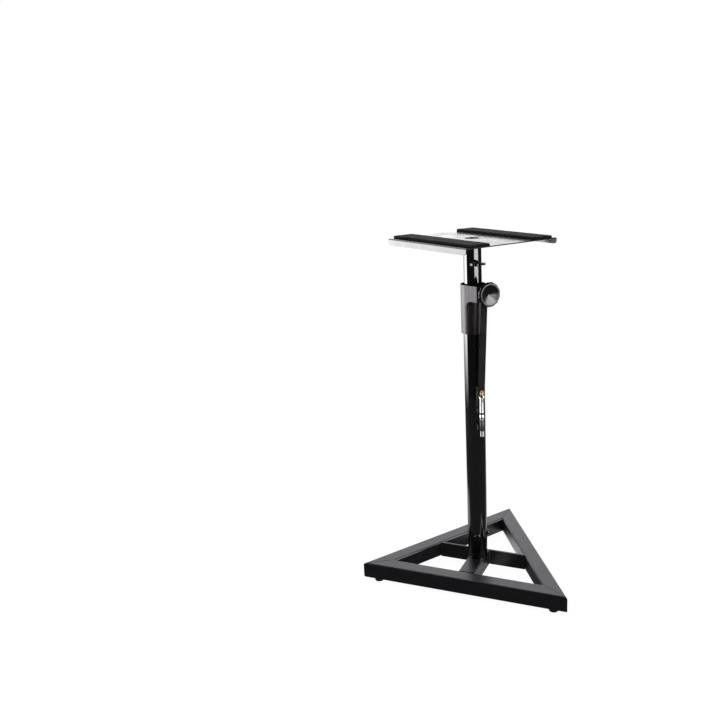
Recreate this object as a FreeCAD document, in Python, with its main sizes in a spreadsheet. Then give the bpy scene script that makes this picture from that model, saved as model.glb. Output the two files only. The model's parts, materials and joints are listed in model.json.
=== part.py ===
"""Monitor speaker stand: triangular base, telescoping pole, clamp collar and speaker plate.

Millimetres, +Z up, front towards -Y. Every piece is a body drawn about the pole's axis and set in
place, and turned where it needs to be, by its own placement. All driving sizes are in the sheet.
"""

import FreeCAD
import Part
import Sketcher
import os

from FreeCAD import Placement, Rotation, Vector

SIZES = [
    ("stand_height", 716.5, "floor to the top of the plate, lowered"),
    ("mast_show", 122.0, "top of the plate above the top of the lower tube, lowered"),
    ("base_width", 440.0, "outer length of the front rail"),
    ("base_depth", 338.0, "front face to the apex of the base"),
    ("rail_width", 32.0, "rail section, across"),
    ("rail_height", 34.0, "rail section, upright"),
    ("rail_wall", 2.0, "wall of the rail section"),
    ("rail_round", 4.0, "rounding along the rails"),
    ("foot_height", 6.0, "rubber foot"),
    ("foot_diameter", 19.0, "rubber foot"),
    ("foot_inset", 11.5, "front feet, behind the front face"),
    ("foot_end", 30.0, "front feet, from the ends of the rail"),
    ("foot_apex", 36.0, "rear foot, ahead of the apex"),
    ("pole_setback", 104.5, "pole axis behind the front face"),
    ("pole_y", -38.98, "pole axis in the frame of the part"),
    ("bar_thickness", 4.0, "cross bar"),
    ("bar_front", 26.5, "cross bar's front face behind the pole axis"),
    ("strut_width", 34.0, "centre strut, across"),
    ("stub_diameter", 37.6, "base stub"),
    ("stub_wall", 2.3, "base stub"),
    ("stub_height", 62.0, "base stub, above the rails"),
    ("lower_diameter", 41.0, "lower tube"),
    ("lower_wall", 1.5, "lower tube"),
    ("bolt_diameter", 8.0, "tube bolts"),
    ("bolt_rise", 53.0, "tube bolts above the rails"),
    ("bolt_turn", -70.0, "direction of the first tube bolt about the pole"),
    ("head_diameter", 13.0, "tube bolt head"),
    ("head_height", 4.0, "tube bolt head"),
    ("mast_diameter", 35.0, "upper tube"),
    ("mast_wall", 1.5, "upper tube"),
    ("bush_flange", 8.0, "guide bush below the mast"),
    ("bush_stem", 30.0, "guide bush inside the mast"),
    ("run_gap", 0.3, "between pieces that part"),
    ("run_fit", 0.05, "radial running fit"),
    ("hole_diameter", 8.5, "locking holes through the mast"),
    ("hole_pitch", 80.0, "between locking holes"),
    ("hole_first", 220.0, "first locking hole below the plate top"),
    ("collar_diameter", 49.0, "clamp collar"),
    ("collar_below", 63.0, "collar below the top of the lower tube"),
    ("collar_above", 34.0, "collar above the top of the lower tube"),
    ("ring_height", 10.0, "guide ring in the collar"),
    ("boss_height", 31.0, "collar boss"),
    ("boss_reach", 38.5, "collar boss end from the pole axis"),
    ("boss_width", 29.0, "collar boss, at its end"),
    ("boss_cove", 10.0, "cove under the collar boss"),
    ("clamp_drop", 14.0, "knob axis below the collar's top"),
    ("clamp_turn", -37.0, "direction of the knob axis about the pole"),
    ("knob_diameter", 48.8, "clamp knob"),
    ("knob_thickness", 19.5, "clamp knob, with its neck"),
    ("knob_neck", 25.0, "neck behind the knob's rim"),
    ("knob_rim", 5.5, "rim of the knob"),
    ("knob_edge", 2.8, "bevel of the knob's front edge"),
    ("knob_ring", 2.6, "flat ring round the knob's dish"),
    ("knob_dish", 7.0, "depth of the knob's dish"),
    ("stud_diameter", 8.0, "clamp stud"),
    ("insert_diameter", 12.0, "thread insert"),
    ("shoe_diameter", 16.0, "pressure shoe"),
    ("shoe_back", 21.3, "back of the shoe from the pole axis"),
    ("plate_size", 228.6, "speaker plate, square"),
    ("plate_thickness", 2.0, "speaker plate"),
    ("plate_gap", 0.5, "plate above the mast's end"),
    ("lip_drop", 12.0, "plate lips"),
    ("bend_radius", 3.0, "plate bends, outside"),
    ("lip_corner", 6.5, "rounding of the lips' lower corners"),
    ("plate_hole", 28.4, "centre hole"),
    ("plate_turn", 60.8, "direction of the lips' normal about the pole"),
    ("spigot_length", 70.0, "spigot under the plate"),
    ("foam_width", 45.0, "foam strip"),
    ("foam_thickness", 5.0, "foam strip"),
    ("foam_length", 228.0, "foam strip"),
    ("foam_inset", 12.3, "foam strip from the lip's face"),
    ("wing_drop", 46.0, "wing screw below the plate top"),
    ("wing_turn", -51.0, "direction of the wing screw about the pole"),
    ("wing_span", 31.0, "wing screw"),
    ("wing_thickness", 4.0, "wing screw"),
    ("screw_diameter", 6.0, "wing screw thread"),
    ("strap_width", 15.0, "lanyard strap"),
    ("strap_thickness", 1.6, "lanyard strap"),
    ("strap_length", 198.0, "strap, from the stud to the eyelet"),
    ("strap_lean", 3.0, "lean of the strap from plumb"),
    ("eyelet_hole", 6.0, "strap eyelet"),
    ("ring_diameter", 14.0, "pin ring, on its wire's centre line"),
    ("ring_wire", 2.0, "pin ring wire"),
    ("pin_diameter", 8.0, "locking pin"),
    ("pin_length", 80.0, "locking pin"),
]

doc = FreeCAD.newDocument("speaker_stand")
sheet = doc.addObject("Spreadsheet::Sheet", "sizes")
for row, (alias, value, note) in enumerate(SIZES, start=1):
    sheet.set(f"A{row}", alias)
    sheet.set(f"B{row}", str(value))
    sheet.setAlias(f"B{row}", alias)
    sheet.set(f"C{row}", note)
doc.recompute()


def c(alias):
    """Expression text for one cell of the sheet."""
    return f"sizes.{alias}"


# Heights up the pole, as expressions.
SOLE = c("foot_height")
STUB = f"({SOLE} + {c('rail_height')})"
STUB_TOP = f"({STUB} + {c('stub_height')})"
LOWER = STUB
PLATE_TOP = c("stand_height")
PLATE = f"({PLATE_TOP} - {c('plate_thickness')})"
LOWER_TOP = f"({PLATE_TOP} - {c('mast_show')})"
LOWER_LENGTH = f"({LOWER_TOP} - {LOWER})"
BOLT = f"({STUB} + {c('bolt_rise')})"
BUSH = f"({STUB_TOP} + {c('run_gap')})"
MAST = f"({BUSH} + {c('bush_flange')} + {c('run_gap')})"
MAST_TOP = f"({PLATE} - {c('plate_gap')})"
MAST_LENGTH = f"({MAST_TOP} - {MAST})"
COLLAR = f"({LOWER_TOP} - {c('collar_below')})"
COLLAR_TOP = f"({LOWER_TOP} + {c('collar_above')})"
CLAMP = f"({COLLAR_TOP} - {c('clamp_drop')})"
WING = f"({PLATE_TOP} - {c('wing_drop')})"

LOWER_BORE = f"({c('lower_diameter')} / 2 - {c('lower_wall')})"
MAST_BORE = f"({c('mast_diameter')} / 2 - {c('mast_wall')})"
KNOB_BACK = f"({c('boss_reach')} + {c('strap_thickness')} + 0.4)"
KNOB_FACE = f"({KNOB_BACK} + {c('knob_thickness')})"
STRAP_BACK = f"({c('boss_reach')} + 0.2)"
STRAP_MID = f"({STRAP_BACK} + {c('strap_thickness')} / 2)"
LEAN_SIN, LEAN_COS = f"sin({c('strap_lean')})", f"cos({c('strap_lean')})"
EYE_Y = f"(-{c('strap_length')} * {LEAN_SIN})"
EYELET = f"({CLAMP} - {c('strap_length')} * {LEAN_COS})"
RING_TOP = f"({EYELET} - {c('eyelet_hole')} / 2 + {c('ring_wire')} / 2 + 0.2)"
PIN_EYE = f"({RING_TOP} - {c('ring_diameter')})"

ALONG_X = Rotation(Vector(0, 1, 0), 90)
ALONG_Y = Rotation(Vector(1, 0, 0), -90)
UPRIGHT = Rotation()


class Piece:
    """One named piece: a body about the pole's axis, turned about it and set in the frame."""

    def __init__(self, name, turn="0"):
        self.name = name
        self.count = 0
        self.body = doc.addObject("PartDesign::Body", name)
        self.body.Label = name
        self.body.Placement = Placement(Vector(0, 0, 0), Rotation(Vector(0, 0, 1), 1))
        self.body.setExpression("Placement.Base.y", c("pole_y"))
        self.body.setExpression("Placement.Rotation.Angle", turn)

    def feature(self, kind):
        """A new feature at the end of the body."""
        self.count += 1
        return self.body.newObject(f"PartDesign::{kind}", f"{self.name}_{self.count}_{kind}")

    def datum(self, role):
        """One of the body's own planes or axes."""
        return next(item for item in self.body.Origin.OriginFeatures if item.Role == role)

    def solid(self, kind, cells, at=("0", "0", "0"), rotation=UPRIGHT):
        """A primitive whose sizes and place are bound to expressions."""
        item = self.feature(kind)
        item.Placement = Placement(Vector(0, 0, 0), rotation)
        for prop, text in cells.items():
            item.setExpression(prop, text)
        for letter, text in zip("xyz", at):
            item.setExpression(f"Placement.Base.{letter}", text)
        self.body.Tip = item
        doc.recompute()
        return item

    def rod(self, radius, length, at=("0", "0", "0"), rotation=UPRIGHT):
        """Add a cylinder."""
        return self.solid("AdditiveCylinder", {"Radius": radius, "Height": length}, at, rotation)

    def bore(self, radius, length, at=("0", "0", "0"), rotation=UPRIGHT):
        """Take away a cylinder."""
        return self.solid("SubtractiveCylinder", {"Radius": radius, "Height": length}, at, rotation)

    def block(self, size, at, kind="AdditiveBox", rotation=UPRIGHT):
        """Add or take away a box by its low corner."""
        return self.solid(kind, dict(zip(("Length", "Width", "Height"), size)), at, rotation)

    def cone(self, first, last, length, at, rotation, kind="SubtractiveCone"):
        """Add or take away a cone."""
        cells = {"Radius1": first, "Radius2": last, "Height": length}
        return self.solid(kind, cells, at, rotation)

    def outline(self, points, height):
        """A closed plan outline of straight sides at a height, each corner held by its two sizes."""
        self.count += 1
        sketch = self.body.newObject("Sketcher::SketchObject", f"{self.name}_{self.count}_outline")
        sketch.AttachmentSupport = [(self.datum("XY_Plane"), "")]
        sketch.MapMode = "FlatFace"
        sketch.setExpression("AttachmentOffset.Base.z", height)
        corners = [Vector(x, y, 0) for x, _, y, _ in points]
        total = len(corners)
        for index, corner in enumerate(corners):
            sketch.addGeometry(Part.LineSegment(corner, corners[(index + 1) % total]), False)
        for index in range(total):
            joint = Sketcher.Constraint("Coincident", index, 2, (index + 1) % total, 1)
            sketch.addConstraint(joint)
        for index, (x, x_text, y, y_text) in enumerate(points):
            for kind, axis, size, text in (("DistanceX", -2, x, x_text), ("DistanceY", -1, y, y_text)):
                if text == "0":
                    sketch.addConstraint(Sketcher.Constraint("PointOnObject", index, 1, axis))
                    continue
                number = sketch.addConstraint(Sketcher.Constraint(kind, -1, 1, index, 1, size))
                sketch.setExpression(f"Constraints[{number}]", text)
        doc.recompute()
        return sketch

    def pad(self, points, height, length, kind="Pad"):
        """A pad that rises from its outline, or a pocket that sinks from it."""
        sketch = self.outline(points, height)
        item = self.feature(kind)
        item.Profile = sketch
        item.setExpression("Length", length)
        self.body.Tip = item
        doc.recompute()
        return item

    def dress(self, kind, prop, size, wanted):
        """Round or bevel the edges of the tip that a test picks out."""
        base = self.body.Tip
        names = [f"Edge{n}" for n, edge in enumerate(base.Shape.Edges, start=1) if wanted(edge)]
        if not names:
            raise RuntimeError(f"{self.name}: no edge for {kind}")
        item = self.feature(kind)
        item.Base = (base, names)
        item.setExpression(prop, size)
        self.body.Tip = item
        doc.recompute()
        return item

    def round(self, size, wanted):
        """Fillet the edges that a test picks out."""
        return self.dress("Fillet", "Radius", size, wanted)

    def bevel(self, size, wanted):
        """Chamfer the edges that a test picks out."""
        return self.dress("Chamfer", "Size", size, wanted)

    def row(self, original, axis, count, length):
        """A straight row of one feature."""
        item = self.feature("LinearPattern")
        item.Originals = [original]
        item.Occurrences = count
        item.Direction = (self.datum(axis), [""])
        item.setExpression("Length", length)
        self.body.Tip = item
        doc.recompute()
        return item


def runs(edge, direction, slack=0.01):
    """True for a straight edge along a direction."""
    if len(edge.Vertexes) != 2 or edge.Curve.TypeId != "Part::GeomLine":
        return False
    way = edge.Vertexes[1].Point - edge.Vertexes[0].Point
    return way.cross(direction).Length < slack * way.Length


def middle(edge):
    """The middle of an edge's box."""
    return edge.BoundBox.Center


def circles(edge, radius, slack=0.05):
    """True for a full circle of a radius."""
    if edge.Curve.TypeId != "Part::GeomCircle":
        return False
    return abs(edge.Curve.Radius - radius) < slack and len(edge.Vertexes) == 1


V = {alias: value for alias, value, _ in SIZES}
X, Y, Z = Vector(1, 0, 0), Vector(0, 1, 0), Vector(0, 0, 1)
pieces = []


def piece(name, turn="0"):
    """Start a piece and keep it for the hand-over."""
    item = Piece(name, turn)
    pieces.append(item)
    return item


# Base frame: three mitred rails, drawn in plan and hollowed along the same mitres.
half, depth, wide = V["base_width"] / 2, V["base_depth"], V["rail_width"]
slope = (half ** 2 + depth ** 2) ** 0.5
HALF = f"({c('base_width')} / 2)"
DEPTH = c("base_depth")
FRONT = c("pole_setback")
SLOPE = f"sqrt({HALF} * {HALF} + {DEPTH} * {DEPTH})"


def mitre(inset, inset_text):
    """Corners of the base triangle moved in by an inset: front corner x and y, apex y."""
    run = inset * (slope + half) / depth
    run_text = f"({inset_text} * ({SLOPE} + {HALF}) / {DEPTH})"
    x, x_text = half - run, f"({HALF} - {run_text})"
    y, y_text = inset - V["pole_setback"], f"({inset_text} - {FRONT})"
    top = depth - V["pole_setback"] - inset * slope / half
    top_text = f"({DEPTH} - {FRONT} - {inset_text} * {SLOPE} / {HALF})"
    return (x, x_text, y, y_text, top, top_text)


def front_outline(outer, inner):
    """Plan of the front rail between two insets."""
    ox, oxt, oy, oyt, _, _ = outer
    ix, ixt, iy, iyt, _, _ = inner
    return [(-ox, f"-{oxt}", oy, oyt), (ox, oxt, oy, oyt), (ix, ixt, iy, iyt), (-ix, f"-{ixt}", iy, iyt)]


def side_outline(outer, inner, side):
    """Plan of a side rail between two insets; side is -1 for left and 1 for right."""
    ox, oxt, oy, oyt, oa, oat = outer
    ix, ixt, iy, iyt, ia, iat = inner
    sign = "-" if side < 0 else ""
    return [
        (side * ox, sign + oxt, oy, oyt),
        (0.0, "0", oa, oat),
        (0.0, "0", ia, iat),
        (side * ix, sign + ixt, iy, iyt),
    ]


WALL = c("rail_wall")
outside = mitre(0.0, "0")
inside = mitre(wide, c("rail_width"))
skin_out = mitre(V["rail_wall"], WALL)
skin_in = mitre(wide - V["rail_wall"], f"({c('rail_width')} - {WALL})")
RAIL_TOP = f"({SOLE} + {c('rail_height')} - {WALL})"
HOLLOW = f"({c('rail_height')} - 2 * {WALL})"
left_way = Vector(half, depth, 0)

for name, way, plan, core in (
    ("front_rail", X, front_outline(outside, inside), front_outline(skin_out, skin_in)),
    ("left_rail", left_way, side_outline(outside, inside, -1), side_outline(skin_out, skin_in, -1)),
    ("right_rail", Vector(-half, depth, 0), side_outline(outside, inside, 1),
     side_outline(skin_out, skin_in, 1)),
):
    rail = piece(name)
    rail.pad(plan, SOLE, c("rail_height"))
    rail.round(c("rail_round"), lambda edge, way=way: runs(edge, way))
    rail.pad(core, RAIL_TOP, HOLLOW, kind="Pocket")

# Flat bar on edge between the side rails.
bar = piece("cross_bar")


def bar_end(back, back_text):
    """Half length of the bar at a distance behind the pole."""
    y, y_text = V["bar_front"] + back, f"({c('bar_front')} + {back_text})"
    reach = half - (y + V["pole_setback"]) * half / depth - wide * slope / depth
    reach_text = (f"({HALF} - ({y_text} + {FRONT}) * {HALF} / {DEPTH}"
                  f" - {c('rail_width')} * {SLOPE} / {DEPTH})")
    return reach, reach_text, y, y_text


near = bar_end(0.0, "0")
far = bar_end(V["bar_thickness"], c("bar_thickness"))
bar.pad([(-near[0], f"-{near[1]}", near[2], near[3]), near, far, (-far[0], f"-{far[1]}", far[2], far[3])],
        SOLE, f"({c('rail_height')} - 0.5)")

# Centre strut between the front rail and the bar, flush with the rails; the pole stands on it.
strut = piece("centre_strut")
STRUT_FRONT = f"({c('rail_width')} - {FRONT})"
STRUT_RUN = f"({c('bar_front')} - {STRUT_FRONT})"
strut.block((c("strut_width"), STRUT_RUN, c("rail_height")),
            (f"(-{c('strut_width')} / 2)", STRUT_FRONT, SOLE))
strut.round(f"({c('rail_round')} / 2)", lambda edge: runs(edge, Y))
strut.block((f"({c('strut_width')} - 2 * {WALL})", STRUT_RUN, HOLLOW),
            (f"({WALL} - {c('strut_width')} / 2)", STRUT_FRONT, f"({SOLE} + {WALL})"), kind="SubtractiveBox")

# Stub inside the lower tube, and the two bolts that hold the tube on it.
STUB_R = f"({c('stub_diameter')} / 2)"
BOLT_R = f"({c('bolt_diameter')} / 2)"
NONE = "0"
stub = piece("base_stub", c("bolt_turn"))
stub.rod(STUB_R, c("stub_height"), (NONE, NONE, STUB))
stub.bore(f"({STUB_R} - {c('stub_wall')})", c("stub_height"), (NONE, NONE, STUB))
for turn in (ALONG_X, ALONG_Y):
    stub.bore(BOLT_R, c("lower_diameter"), (NONE, NONE, BOLT), turn)

bolts = piece("tube_bolts", c("bolt_turn"))
SHANK_LOW = f"({STUB_R} - {c('stub_wall')} - 3)"
TUBE_R = f"({c('lower_diameter')} / 2)"
for turn, low, high in (
    (ALONG_X, (SHANK_LOW, NONE, BOLT), (TUBE_R, NONE, BOLT)),
    (ALONG_Y, (NONE, SHANK_LOW, BOLT), (NONE, TUBE_R, BOLT)),
):
    bolts.rod(BOLT_R, f"({TUBE_R} - {SHANK_LOW} + 1)", low, turn)
    bolts.rod(f"({c('head_diameter')} / 2)", c("head_height"), high, turn)
bolts.round(f"({c('head_height')} * 0.6)", lambda edge: circles(edge, V["head_diameter"] / 2)
            and middle(edge).x + middle(edge).y > V["lower_diameter"] / 2 + V["head_height"] / 2)

FOOT_Y = f"({c('foot_inset')} - {FRONT})"
FOOT_X = f"({HALF} - {c('foot_end')})"
for name, x_text, y_text in (
    ("foot_left", f"-{FOOT_X}", FOOT_Y),
    ("foot_right", FOOT_X, FOOT_Y),
    ("foot_back", "0", f"({DEPTH} - {FRONT} - {c('foot_apex')})"),
):
    foot = piece(name)
    foot.rod(f"{c('foot_diameter')} / 2", c("foot_height"), (x_text, y_text, "0"))
    foot.bevel("0.8", lambda edge: circles(edge, V["foot_diameter"] / 2) and middle(edge).z < 0.1)

# Lower tube, with the collar on its top.
lower = piece("lower_tube", c("clamp_turn"))
lower.rod(f"{c('lower_diameter')} / 2", LOWER_LENGTH, ("0", "0", LOWER))
lower.bore(LOWER_BORE, LOWER_LENGTH, ("0", "0", LOWER))
bolt_way = V["bolt_turn"] - V["clamp_turn"]
for angle in (bolt_way, bolt_way + 90):
    lower.bore(f"({BOLT_R} + {c('run_fit')})", c("lower_diameter"), ("0", "0", BOLT),
               Rotation(Z, angle) * ALONG_X)
SCREW_HEIGHTS = (f"({COLLAR} + 16)", f"({COLLAR} + 48)")
for height in SCREW_HEIGHTS:
    lower.bore("2", "10", (f"(-{c('lower_diameter')} / 2 - 5)", "0", height), ALONG_X)

collar = piece("clamp_collar", c("clamp_turn"))
round_r, end_r, end_w = V["collar_diameter"] / 2, V["boss_reach"], V["boss_width"] / 2
ROUND_R = f"({c('collar_diameter')} / 2)"
flat_x, flat_y = round_r * 0.2741, round_r * 0.9617
FLAT_X, FLAT_Y = f"({ROUND_R} * 0.2741)", f"({ROUND_R} * 0.9617)"
END_X, END_W = c("boss_reach"), f"({c('boss_width')} / 2)"
COVE = c("boss_cove")
COVE_LOW = f"({COLLAR_TOP} - {c('boss_height')} - {COVE})"
COVE_X = f"({FLAT_X} + {COVE} + 3)"
collar.pad([(flat_x, FLAT_X, -flat_y, f"-{FLAT_Y}"), (end_r, END_X, -end_w, f"-{END_W}"),
            (end_r, END_X, end_w, END_W), (flat_x, FLAT_X, flat_y, FLAT_Y)],
           COVE_LOW, f"({c('boss_height')} + {COVE})")
collar.block((END_X, c("collar_diameter"), COVE), (COVE_X, f"-{ROUND_R}", COVE_LOW), kind="SubtractiveBox")
collar.bore(COVE, c("collar_diameter"), (COVE_X, f"-{ROUND_R}", COVE_LOW), ALONG_Y)
collar.rod(ROUND_R, f"({COLLAR_TOP} - {COLLAR})", ("0", "0", COLLAR))
collar.round("4.5", lambda edge: runs(edge, Z) and middle(edge).x > end_r - 4)
collar.bore(f"({c('lower_diameter')} / 2 + 0.05)", f"({c('collar_below')} + {c('ring_height')} + 0.2)",
            ("0", "0", COLLAR))
collar.bore(f"({c('mast_diameter')} / 2 + {c('run_gap')})", c("collar_above"), ("0", "0", LOWER_TOP))
collar.bore(f"{c('insert_diameter')} / 2", c("boss_reach"), ("0", "0", CLAMP), ALONG_X)
collar.bore(f"({c('shoe_diameter')} / 2 + {c('run_gap')})", f"({c('shoe_back')} + 3.2)",
            ("0", "0", CLAMP), ALONG_X)
for height in SCREW_HEIGHTS:
    collar.bore("2", "10", (f"(-{ROUND_R} - 5)", "0", height), ALONG_X)

ring = piece("collar_bush")
ring.rod(f"{c('lower_diameter')} / 2", c("ring_height"), ("0", "0", LOWER_TOP))
ring.bore(f"({c('mast_diameter')} / 2 + {c('run_fit')})", c("ring_height"), ("0", "0", LOWER_TOP))

screws = piece("collar_screws", c("clamp_turn"))
for height in SCREW_HEIGHTS:
    screws.rod("3.6", "2", (f"(-{ROUND_R} - 2)", "0", height), ALONG_X)
    screws.rod("2", f"({ROUND_R} - {LOWER_BORE} - 0.2)", (f"(-{ROUND_R})", "0", height), ALONG_X)

insert = piece("thread_insert", c("clamp_turn"))
INSERT_BACK = f"({c('shoe_back')} + 3.4)"
insert.rod(f"{c('insert_diameter')} / 2", f"({END_X} - 0.4 - {INSERT_BACK})",
           (INSERT_BACK, "0", CLAMP), ALONG_X)
insert.bore(f"({c('stud_diameter')} / 2 + {c('run_fit')})", END_X, (INSERT_BACK, "0", CLAMP), ALONG_X)

shoe = piece("pressure_shoe", c("clamp_turn"))
shoe.rod(f"{c('shoe_diameter')} / 2", f"({c('shoe_back')} - 10)", ("10", "0", CLAMP), ALONG_X)
shoe.bore(f"({c('mast_diameter')} / 2 + {c('run_gap')})", "60", ("0", "0", f"({CLAMP} - 30)"))

knob = piece("clamp_knob", c("clamp_turn"))
knob.body.setExpression("Placement.Base.z", CLAMP)
KNOB_R = f"({c('knob_diameter')} / 2)"
AXIS = ("0", "0")
NECK_R = f"({c('knob_neck')} / 2)"
FLARE = f"({c('knob_thickness')} - {c('knob_rim')})"
knob.rod(NECK_R, FLARE, (KNOB_BACK, *AXIS), ALONG_X)
knob.cone(NECK_R, KNOB_R, f"({FLARE} * 0.6)", (f"({KNOB_BACK} + {FLARE} * 0.4)", *AXIS), ALONG_X,
          kind="AdditiveCone")
knob.rod(KNOB_R, c("knob_rim"), (f"({KNOB_FACE} - {c('knob_rim')})", *AXIS), ALONG_X)
knob.cone("1", f"({KNOB_R} - {c('knob_edge')} - {c('knob_ring')})", c("knob_dish"),
          (f"({KNOB_FACE} - {c('knob_dish')})", *AXIS), ALONG_X)
knob_face = V["boss_reach"] + V["strap_thickness"] + 0.4 + V["knob_thickness"]
knob.bevel("1.2", lambda edge: circles(edge, V["knob_diameter"] / 2) and middle(edge).x < knob_face - 1)
knob.bevel(c("knob_edge"), lambda edge: circles(edge, V["knob_diameter"] / 2)
           and middle(edge).x > knob_face - 1)
STUD_END = f"({KNOB_FACE} - {c('knob_dish')} - 3)"
knob.bore(f"{c('stud_diameter')} / 2", STUD_END, ("0", *AXIS), ALONG_X)

stud = piece("clamp_stud", c("clamp_turn"))
STUD_BACK = f"({c('shoe_back')} + {c('run_gap')})"
stud.rod(f"{c('stud_diameter')} / 2", f"({STUD_END} - {STUD_BACK})", (STUD_BACK, "0", CLAMP), ALONG_X)

# Mast: guide bush below, tube with locking holes, screw boss near the top.
guide = piece("guide_bush")
guide.rod(f"({LOWER_BORE} - {c('run_fit')})", c("bush_flange"), ("0", "0", BUSH))
guide.rod(f"({MAST_BORE} - {c('run_fit')})", f"({c('bush_flange')} + {c('bush_stem')})", ("0", "0", BUSH))
guide.bore("9", f"({c('bush_flange')} + {c('bush_stem')})", ("0", "0", BUSH))

mast = piece("upper_tube", c("wing_turn"))
mast.rod(f"{c('mast_diameter')} / 2", MAST_LENGTH, ("0", "0", MAST))
mast.bore(MAST_BORE, MAST_LENGTH, ("0", "0", MAST))
mast.bore(f"({c('screw_diameter')} / 2 + {c('run_gap')})", "30", ("0", "0", WING), ALONG_X)
pin_hole = mast.bore(f"{c('hole_diameter')} / 2", "60",
                     ("0", "-30", f"({PLATE_TOP} - {c('hole_first')} - 4 * {c('hole_pitch')})"), ALONG_Y)
mast.row(pin_hole, "Z_Axis", 5, f"4 * {c('hole_pitch')}")

boss = piece("screw_boss", c("wing_turn"))
boss.rod("6.5", f"({c('mast_diameter')} / 2 - 6)", ("10", "0", WING), ALONG_X)
boss.bore(f"{c('mast_diameter')} / 2", "60", ("0", "0", f"({WING} - 30)"))
boss.bore(f"({c('screw_diameter')} / 2 + {c('run_fit')})", "40", ("0", "0", WING), ALONG_X)

wing = piece("wing_screw", c("wing_turn"))
HUB = f"({c('mast_diameter')} / 2 + 4.5)"
TIP = f"({MAST_BORE} + {c('run_gap')})"
wing.rod(f"{c('screw_diameter')} / 2", f"({HUB} - {TIP} + 2)", (TIP, "0", WING), ALONG_X)
wing.cone("6.2", "4.6", "11", (HUB, "0", WING), ALONG_X, kind="AdditiveCone")
hub = V["mast_diameter"] / 2 + 4.5
span = V["wing_span"] / 2
LOBE = f"({c('wing_span')} / 2)"
right = [(2.5, 4.5, "4.5"), (7.5, span, LOBE), (15.0, span - 2, f"({LOBE} - 2)"),
         (16.5, span - 6, f"({LOBE} - 6)"), (10.0, 4.0, "4.0")]
plan = [(hub + x, f"({HUB} + {x})", y, text) for x, y, text in right]
plan += [(x, x_text, -y, f"-{text}") for x, x_text, y, text in reversed(plan)]
wing.pad(plan, f"({WING} - {c('wing_thickness')} / 2)", c("wing_thickness"))
wing.round("1", lambda edge: runs(edge, Z) and abs(middle(edge).y) > 8)

# Speaker plate with its spigot and foam.
plate = piece("top_plate", c("plate_turn"))
SIZE, THICK = c("plate_size"), c("plate_thickness")
plate.block((SIZE, SIZE, THICK), (f"-{SIZE} / 2", f"-{SIZE} / 2", PLATE))
LIP_LOW = f"({PLATE_TOP} - {c('lip_drop')})"
for x_text in (f"-{SIZE} / 2", f"({SIZE} / 2 - {THICK})"):
    plate.block((THICK, SIZE, f"({c('lip_drop')} - {THICK} / 2)"), (x_text, f"-{SIZE} / 2", LIP_LOW))
plate_edge, plate_top = V["plate_size"] / 2, V["stand_height"]
plate_low = plate_top - V["plate_thickness"]
plate.round(c("bend_radius"), lambda edge: runs(edge, Y) and abs(abs(middle(edge).x) - plate_edge) < 0.1
            and middle(edge).z > plate_top - 0.5)
plate.round(f"({c('bend_radius')} - {THICK})", lambda edge: runs(edge, Y)
            and abs(middle(edge).z - plate_low) < 0.5
            and abs(abs(middle(edge).x) - plate_edge + V["plate_thickness"]) < 0.1)
plate.round(c("lip_corner"), lambda edge: runs(edge, X)
            and middle(edge).z < plate_top - V["lip_drop"] + 1)
plate.bore(f"{c('plate_hole')} / 2", "10", ("0", "0", f"({PLATE} - 4)"))

spigot = piece("plate_spigot", c("plate_turn"))
SPIGOT_LOW = f"({PLATE} - {c('spigot_length')})"
spigot.rod(f"({MAST_BORE} - {c('run_fit')})", c("spigot_length"), ("0", "0", SPIGOT_LOW))
spigot.bore(f"{c('plate_hole')} / 2", c("spigot_length"), ("0", "0", SPIGOT_LOW))

foam_top = V["stand_height"] + V["foam_thickness"]
FOAM_SIZE = (c("foam_width"), c("foam_length"), c("foam_thickness"))
for name, x_text in (
    ("foam_near", f"({c('foam_inset')} - {SIZE} / 2)"),
    ("foam_far", f"({SIZE} / 2 - {c('foam_inset')} - {c('foam_width')})"),
):
    foam = piece(name, c("plate_turn"))
    foam.block(FOAM_SIZE, (x_text, f"-{c('foam_length')} / 2", PLATE_TOP))
    foam.round("1", lambda edge: middle(edge).z > foam_top - 0.5 or runs(edge, Z))

# Lanyard: strap on the stud, eyelet, ring and locking pin.
strap = piece("lock_strap", c("clamp_turn"))
HALF_STRAP = f"({c('strap_width')} / 2)"
strap.block((c("strap_thickness"), c("strap_width"), c("strap_length")),
            (STRAP_BACK, f"({EYE_Y} - {HALF_STRAP} * {LEAN_COS})", f"({EYELET} + {HALF_STRAP} * {LEAN_SIN})"),
            rotation=Rotation(X, -V["strap_lean"]))
strap.rod(HALF_STRAP, c("strap_thickness"), (STRAP_BACK, "0", CLAMP), ALONG_X)
strap.rod(HALF_STRAP, c("strap_thickness"), (STRAP_BACK, EYE_Y, EYELET), ALONG_X)
strap.bore(f"({c('stud_diameter')} / 2 + {c('run_gap')})", "60", ("0", "0", CLAMP), ALONG_X)
strap.bore(f"({c('eyelet_hole')} / 2 + 0.5)", "60", ("0", EYE_Y, EYELET), ALONG_X)

eyelet = piece("strap_eyelet", c("clamp_turn"))
EYE_R = f"({c('eyelet_hole')} / 2 + 0.5)"
eyelet.rod(EYE_R, f"({c('strap_thickness')} + 1.6)", (f"({STRAP_BACK} - 0.8)", EYE_Y, EYELET), ALONG_X)
for x_text in (f"({STRAP_BACK} - 0.8)", f"({STRAP_BACK} + {c('strap_thickness')})"):
    eyelet.rod(f"({EYE_R} + 2)", "0.8", (x_text, EYE_Y, EYELET), ALONG_X)
eyelet.bore(f"{c('eyelet_hole')} / 2", "60", ("0", EYE_Y, EYELET), ALONG_X)

link = piece("pin_ring", c("clamp_turn"))
link.solid("AdditiveTorus", {"Radius1": f"{c('ring_diameter')} / 2", "Radius2": f"{c('ring_wire')} / 2"},
           (STRAP_MID, EYE_Y, f"({RING_TOP} - {c('ring_diameter')} / 2)"), Rotation(X, 90))

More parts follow.
